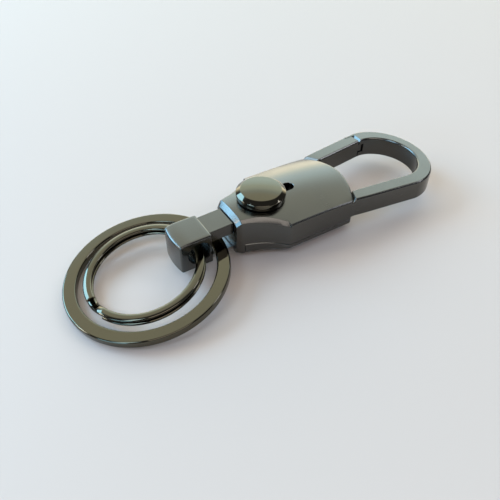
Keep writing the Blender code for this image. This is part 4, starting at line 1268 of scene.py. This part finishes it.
def build_world():
    """A dim plain dome with one tall soft strip of light behind the keychain, brightest at its foot."""
    world = bpy.context.scene.world or bpy.data.worlds.new("studio")
    bpy.context.scene.world = world
    world.use_nodes = True
    world.node_tree.nodes.clear()
    wiring = Wiring(world.node_tree)
    spot = wiring.node("TexCoord").outputs["Generated"]
    height = wiring.node("SeparateXYZ", {"Vector": spot}).outputs["Z"]
    ramp = wiring.node("ValToRGB", {"Fac": height})
    stops = ramp.color_ramp.elements
    for stop, (place_up, tint) in zip(stops, (strip_steps[0], strip_steps[-1])):
        stop.position, stop.color = place_up, (*tint, 1.0)
    for place_up, tint in strip_steps[1:-1]:
        stops.new(place_up).color = (*tint, 1.0)
    aside = wiring.node("VectorMath", {0: spot, 1: heading(strip_side_deg, 0.0)},
                        operation="DOT_PRODUCT").outputs["Value"]
    apart = wiring.math("ABSOLUTE", wiring.math("SUBTRACT", aside, strip_side_middle))
    within = wiring.node("MapRange", {"Value": apart, "From Min": 0.72, "From Max": 0.52},
                         interpolation_type="SMOOTHSTEP").outputs[0]
    ahead = wiring.node("VectorMath", {0: spot, 1: heading(strip_front_deg, 0.0)},
                        operation="DOT_PRODUCT").outputs["Value"]
    behind = wiring.node("MapRange", {"Value": ahead, "From Min": 0.0, "From Max": 0.25},
                         interpolation_type="SMOOTHSTEP").outputs[0]
    lit = wiring.blend(wiring.math("MULTIPLY", within, behind), (*dome_shade, 1.0), ramp.outputs["Color"])
    shade = wiring.node("Background", {"Color": lit, "Strength": strip_strength})
    wiring.node("OutputWorld", {"Surface": shade.outputs[0]})


def build_camera():
    """The camera, in the photograph's place."""
    data = bpy.data.cameras.new("camera")
    data.sensor_width, data.lens = 36.0, camera_lens
    data.clip_start, data.clip_end = 0.001, 20.0
    camera = bpy.data.objects.new("camera", data)
    bpy.context.scene.collection.objects.link(camera)
    turn = (Matrix.Rotation(math.radians(camera_heading_deg), 4, "Z")
            @ Matrix.Rotation(math.radians(camera_rise_deg), 4, "X"))
    camera.matrix_world = laid_frame @ Matrix.Translation(camera_spot) @ turn
    bpy.context.scene.camera = camera


def build_stage():
    """The floor, the soft light and the camera."""
    look = bpy.context.scene.keychain_studio
    build_floor(look.floor)
    build_world()
    for name, turn_deg, rise_deg, wide, tall, tint, watts in lamps:
        spot = lamp_target + lamp_distance * Vector(heading(turn_deg, rise_deg))
        softbox(name, spot, wide, tall, getattr(look, tint), watts)
    build_camera()
    bpy.context.scene.view_settings.view_transform = "Standard"


# Operators

class KEYCHAIN_OT_casting(bpy.types.Operator):
    """Builds the upper casting with its loop"""

    bl_idname = "keychain.casting"
    bl_label = "Casting and Loop"

    def execute(self, context):
        build_casting()
        return {"FINISHED"}


class KEYCHAIN_OT_cover(bpy.types.Operator):
    """Builds the back shell and its four screws"""

    bl_idname = "keychain.cover"
    bl_label = "Back Shell and Screws"

    def execute(self, context):
        build_cover()
        build_screws()
        return {"FINISHED"}


class KEYCHAIN_OT_gate(bpy.types.Operator):
    """Builds the spring gate"""

    bl_idname = "keychain.gate"
    bl_label = "Gate"

    def execute(self, context):
        build_gate()
        return {"FINISHED"}


class KEYCHAIN_OT_eye_block(bpy.types.Operator):
    """Builds the eye block with its tongue"""

    bl_idname = "keychain.eye_block"
    bl_label = "Eye Block"

    def execute(self, context):
        build_eye_block()
        return {"FINISHED"}


class KEYCHAIN_OT_knob(bpy.types.Operator):
    """Builds the thumb knob"""

    bl_idname = "keychain.knob"
    bl_label = "Thumb Knob"

    def execute(self, context):
        build_knob()
        return {"FINISHED"}


class KEYCHAIN_OT_rings(bpy.types.Operator):
    """Builds the flat ring and the split ring"""

    bl_idname = "keychain.rings"
    bl_label = "Rings"

    def execute(self, context):
        build_flat_ring()
        build_split_ring()
        return {"FINISHED"}


class KEYCHAIN_OT_springs(bpy.types.Operator):
    """Builds both springs and gives the inner pieces their finishes"""

    bl_idname = "keychain.springs"
    bl_label = "Springs and Inner Pieces"

    def execute(self, context):
        build_springs()
        dress_inner_pieces()
        return {"FINISHED"}


class KEYCHAIN_OT_stage(bpy.types.Operator):
    """Sets up the floor, the light and the camera"""

    bl_idname = "keychain.stage"
    bl_label = "Stage"

    def execute(self, context):
        build_stage()
        return {"FINISHED"}


operators = (KEYCHAIN_OT_stage, KEYCHAIN_OT_casting, KEYCHAIN_OT_cover, KEYCHAIN_OT_gate, KEYCHAIN_OT_eye_block,
             KEYCHAIN_OT_knob, KEYCHAIN_OT_rings, KEYCHAIN_OT_springs)


class KEYCHAIN_PT_pieces(bpy.types.Panel):
    """Lists the pieces of the keychain"""

    bl_label = "Carabiner Keychain"
    bl_idname = "KEYCHAIN_PT_pieces"
    bl_space_type = "VIEW_3D"
    bl_region_type = "UI"
    bl_category = "Keychain"

    def draw(self, context):
        for operator in operators:
            self.layout.operator(operator.bl_idname)
        for group in ("keychain_sizes", "keychain_finish", "keychain_studio"):
            settings = getattr(context.scene, group)
            for name in settings.__annotations__:
                self.layout.prop(settings, name)


settings = {"keychain_sizes": KeychainSizes, "keychain_finish": KeychainFinish, "keychain_studio": KeychainStudio}


def register():
    for made in (*settings.values(), *operators, KEYCHAIN_PT_pieces):
        bpy.utils.register_class(made)
    for name, group in settings.items():
        setattr(bpy.types.Scene, name, PointerProperty(type=group))


def unregister():
    for name in settings:
        delattr(bpy.types.Scene, name)
    for made in (KEYCHAIN_PT_pieces, *operators[::-1], *settings.values()):
        bpy.utils.unregister_class(made)


def main():
    register()
    for operator in operators:
        getattr(bpy.ops.keychain, operator.bl_idname.split(".")[1])()
    bpy.context.view_layer.update()


if __name__ == "__main__":
    main()
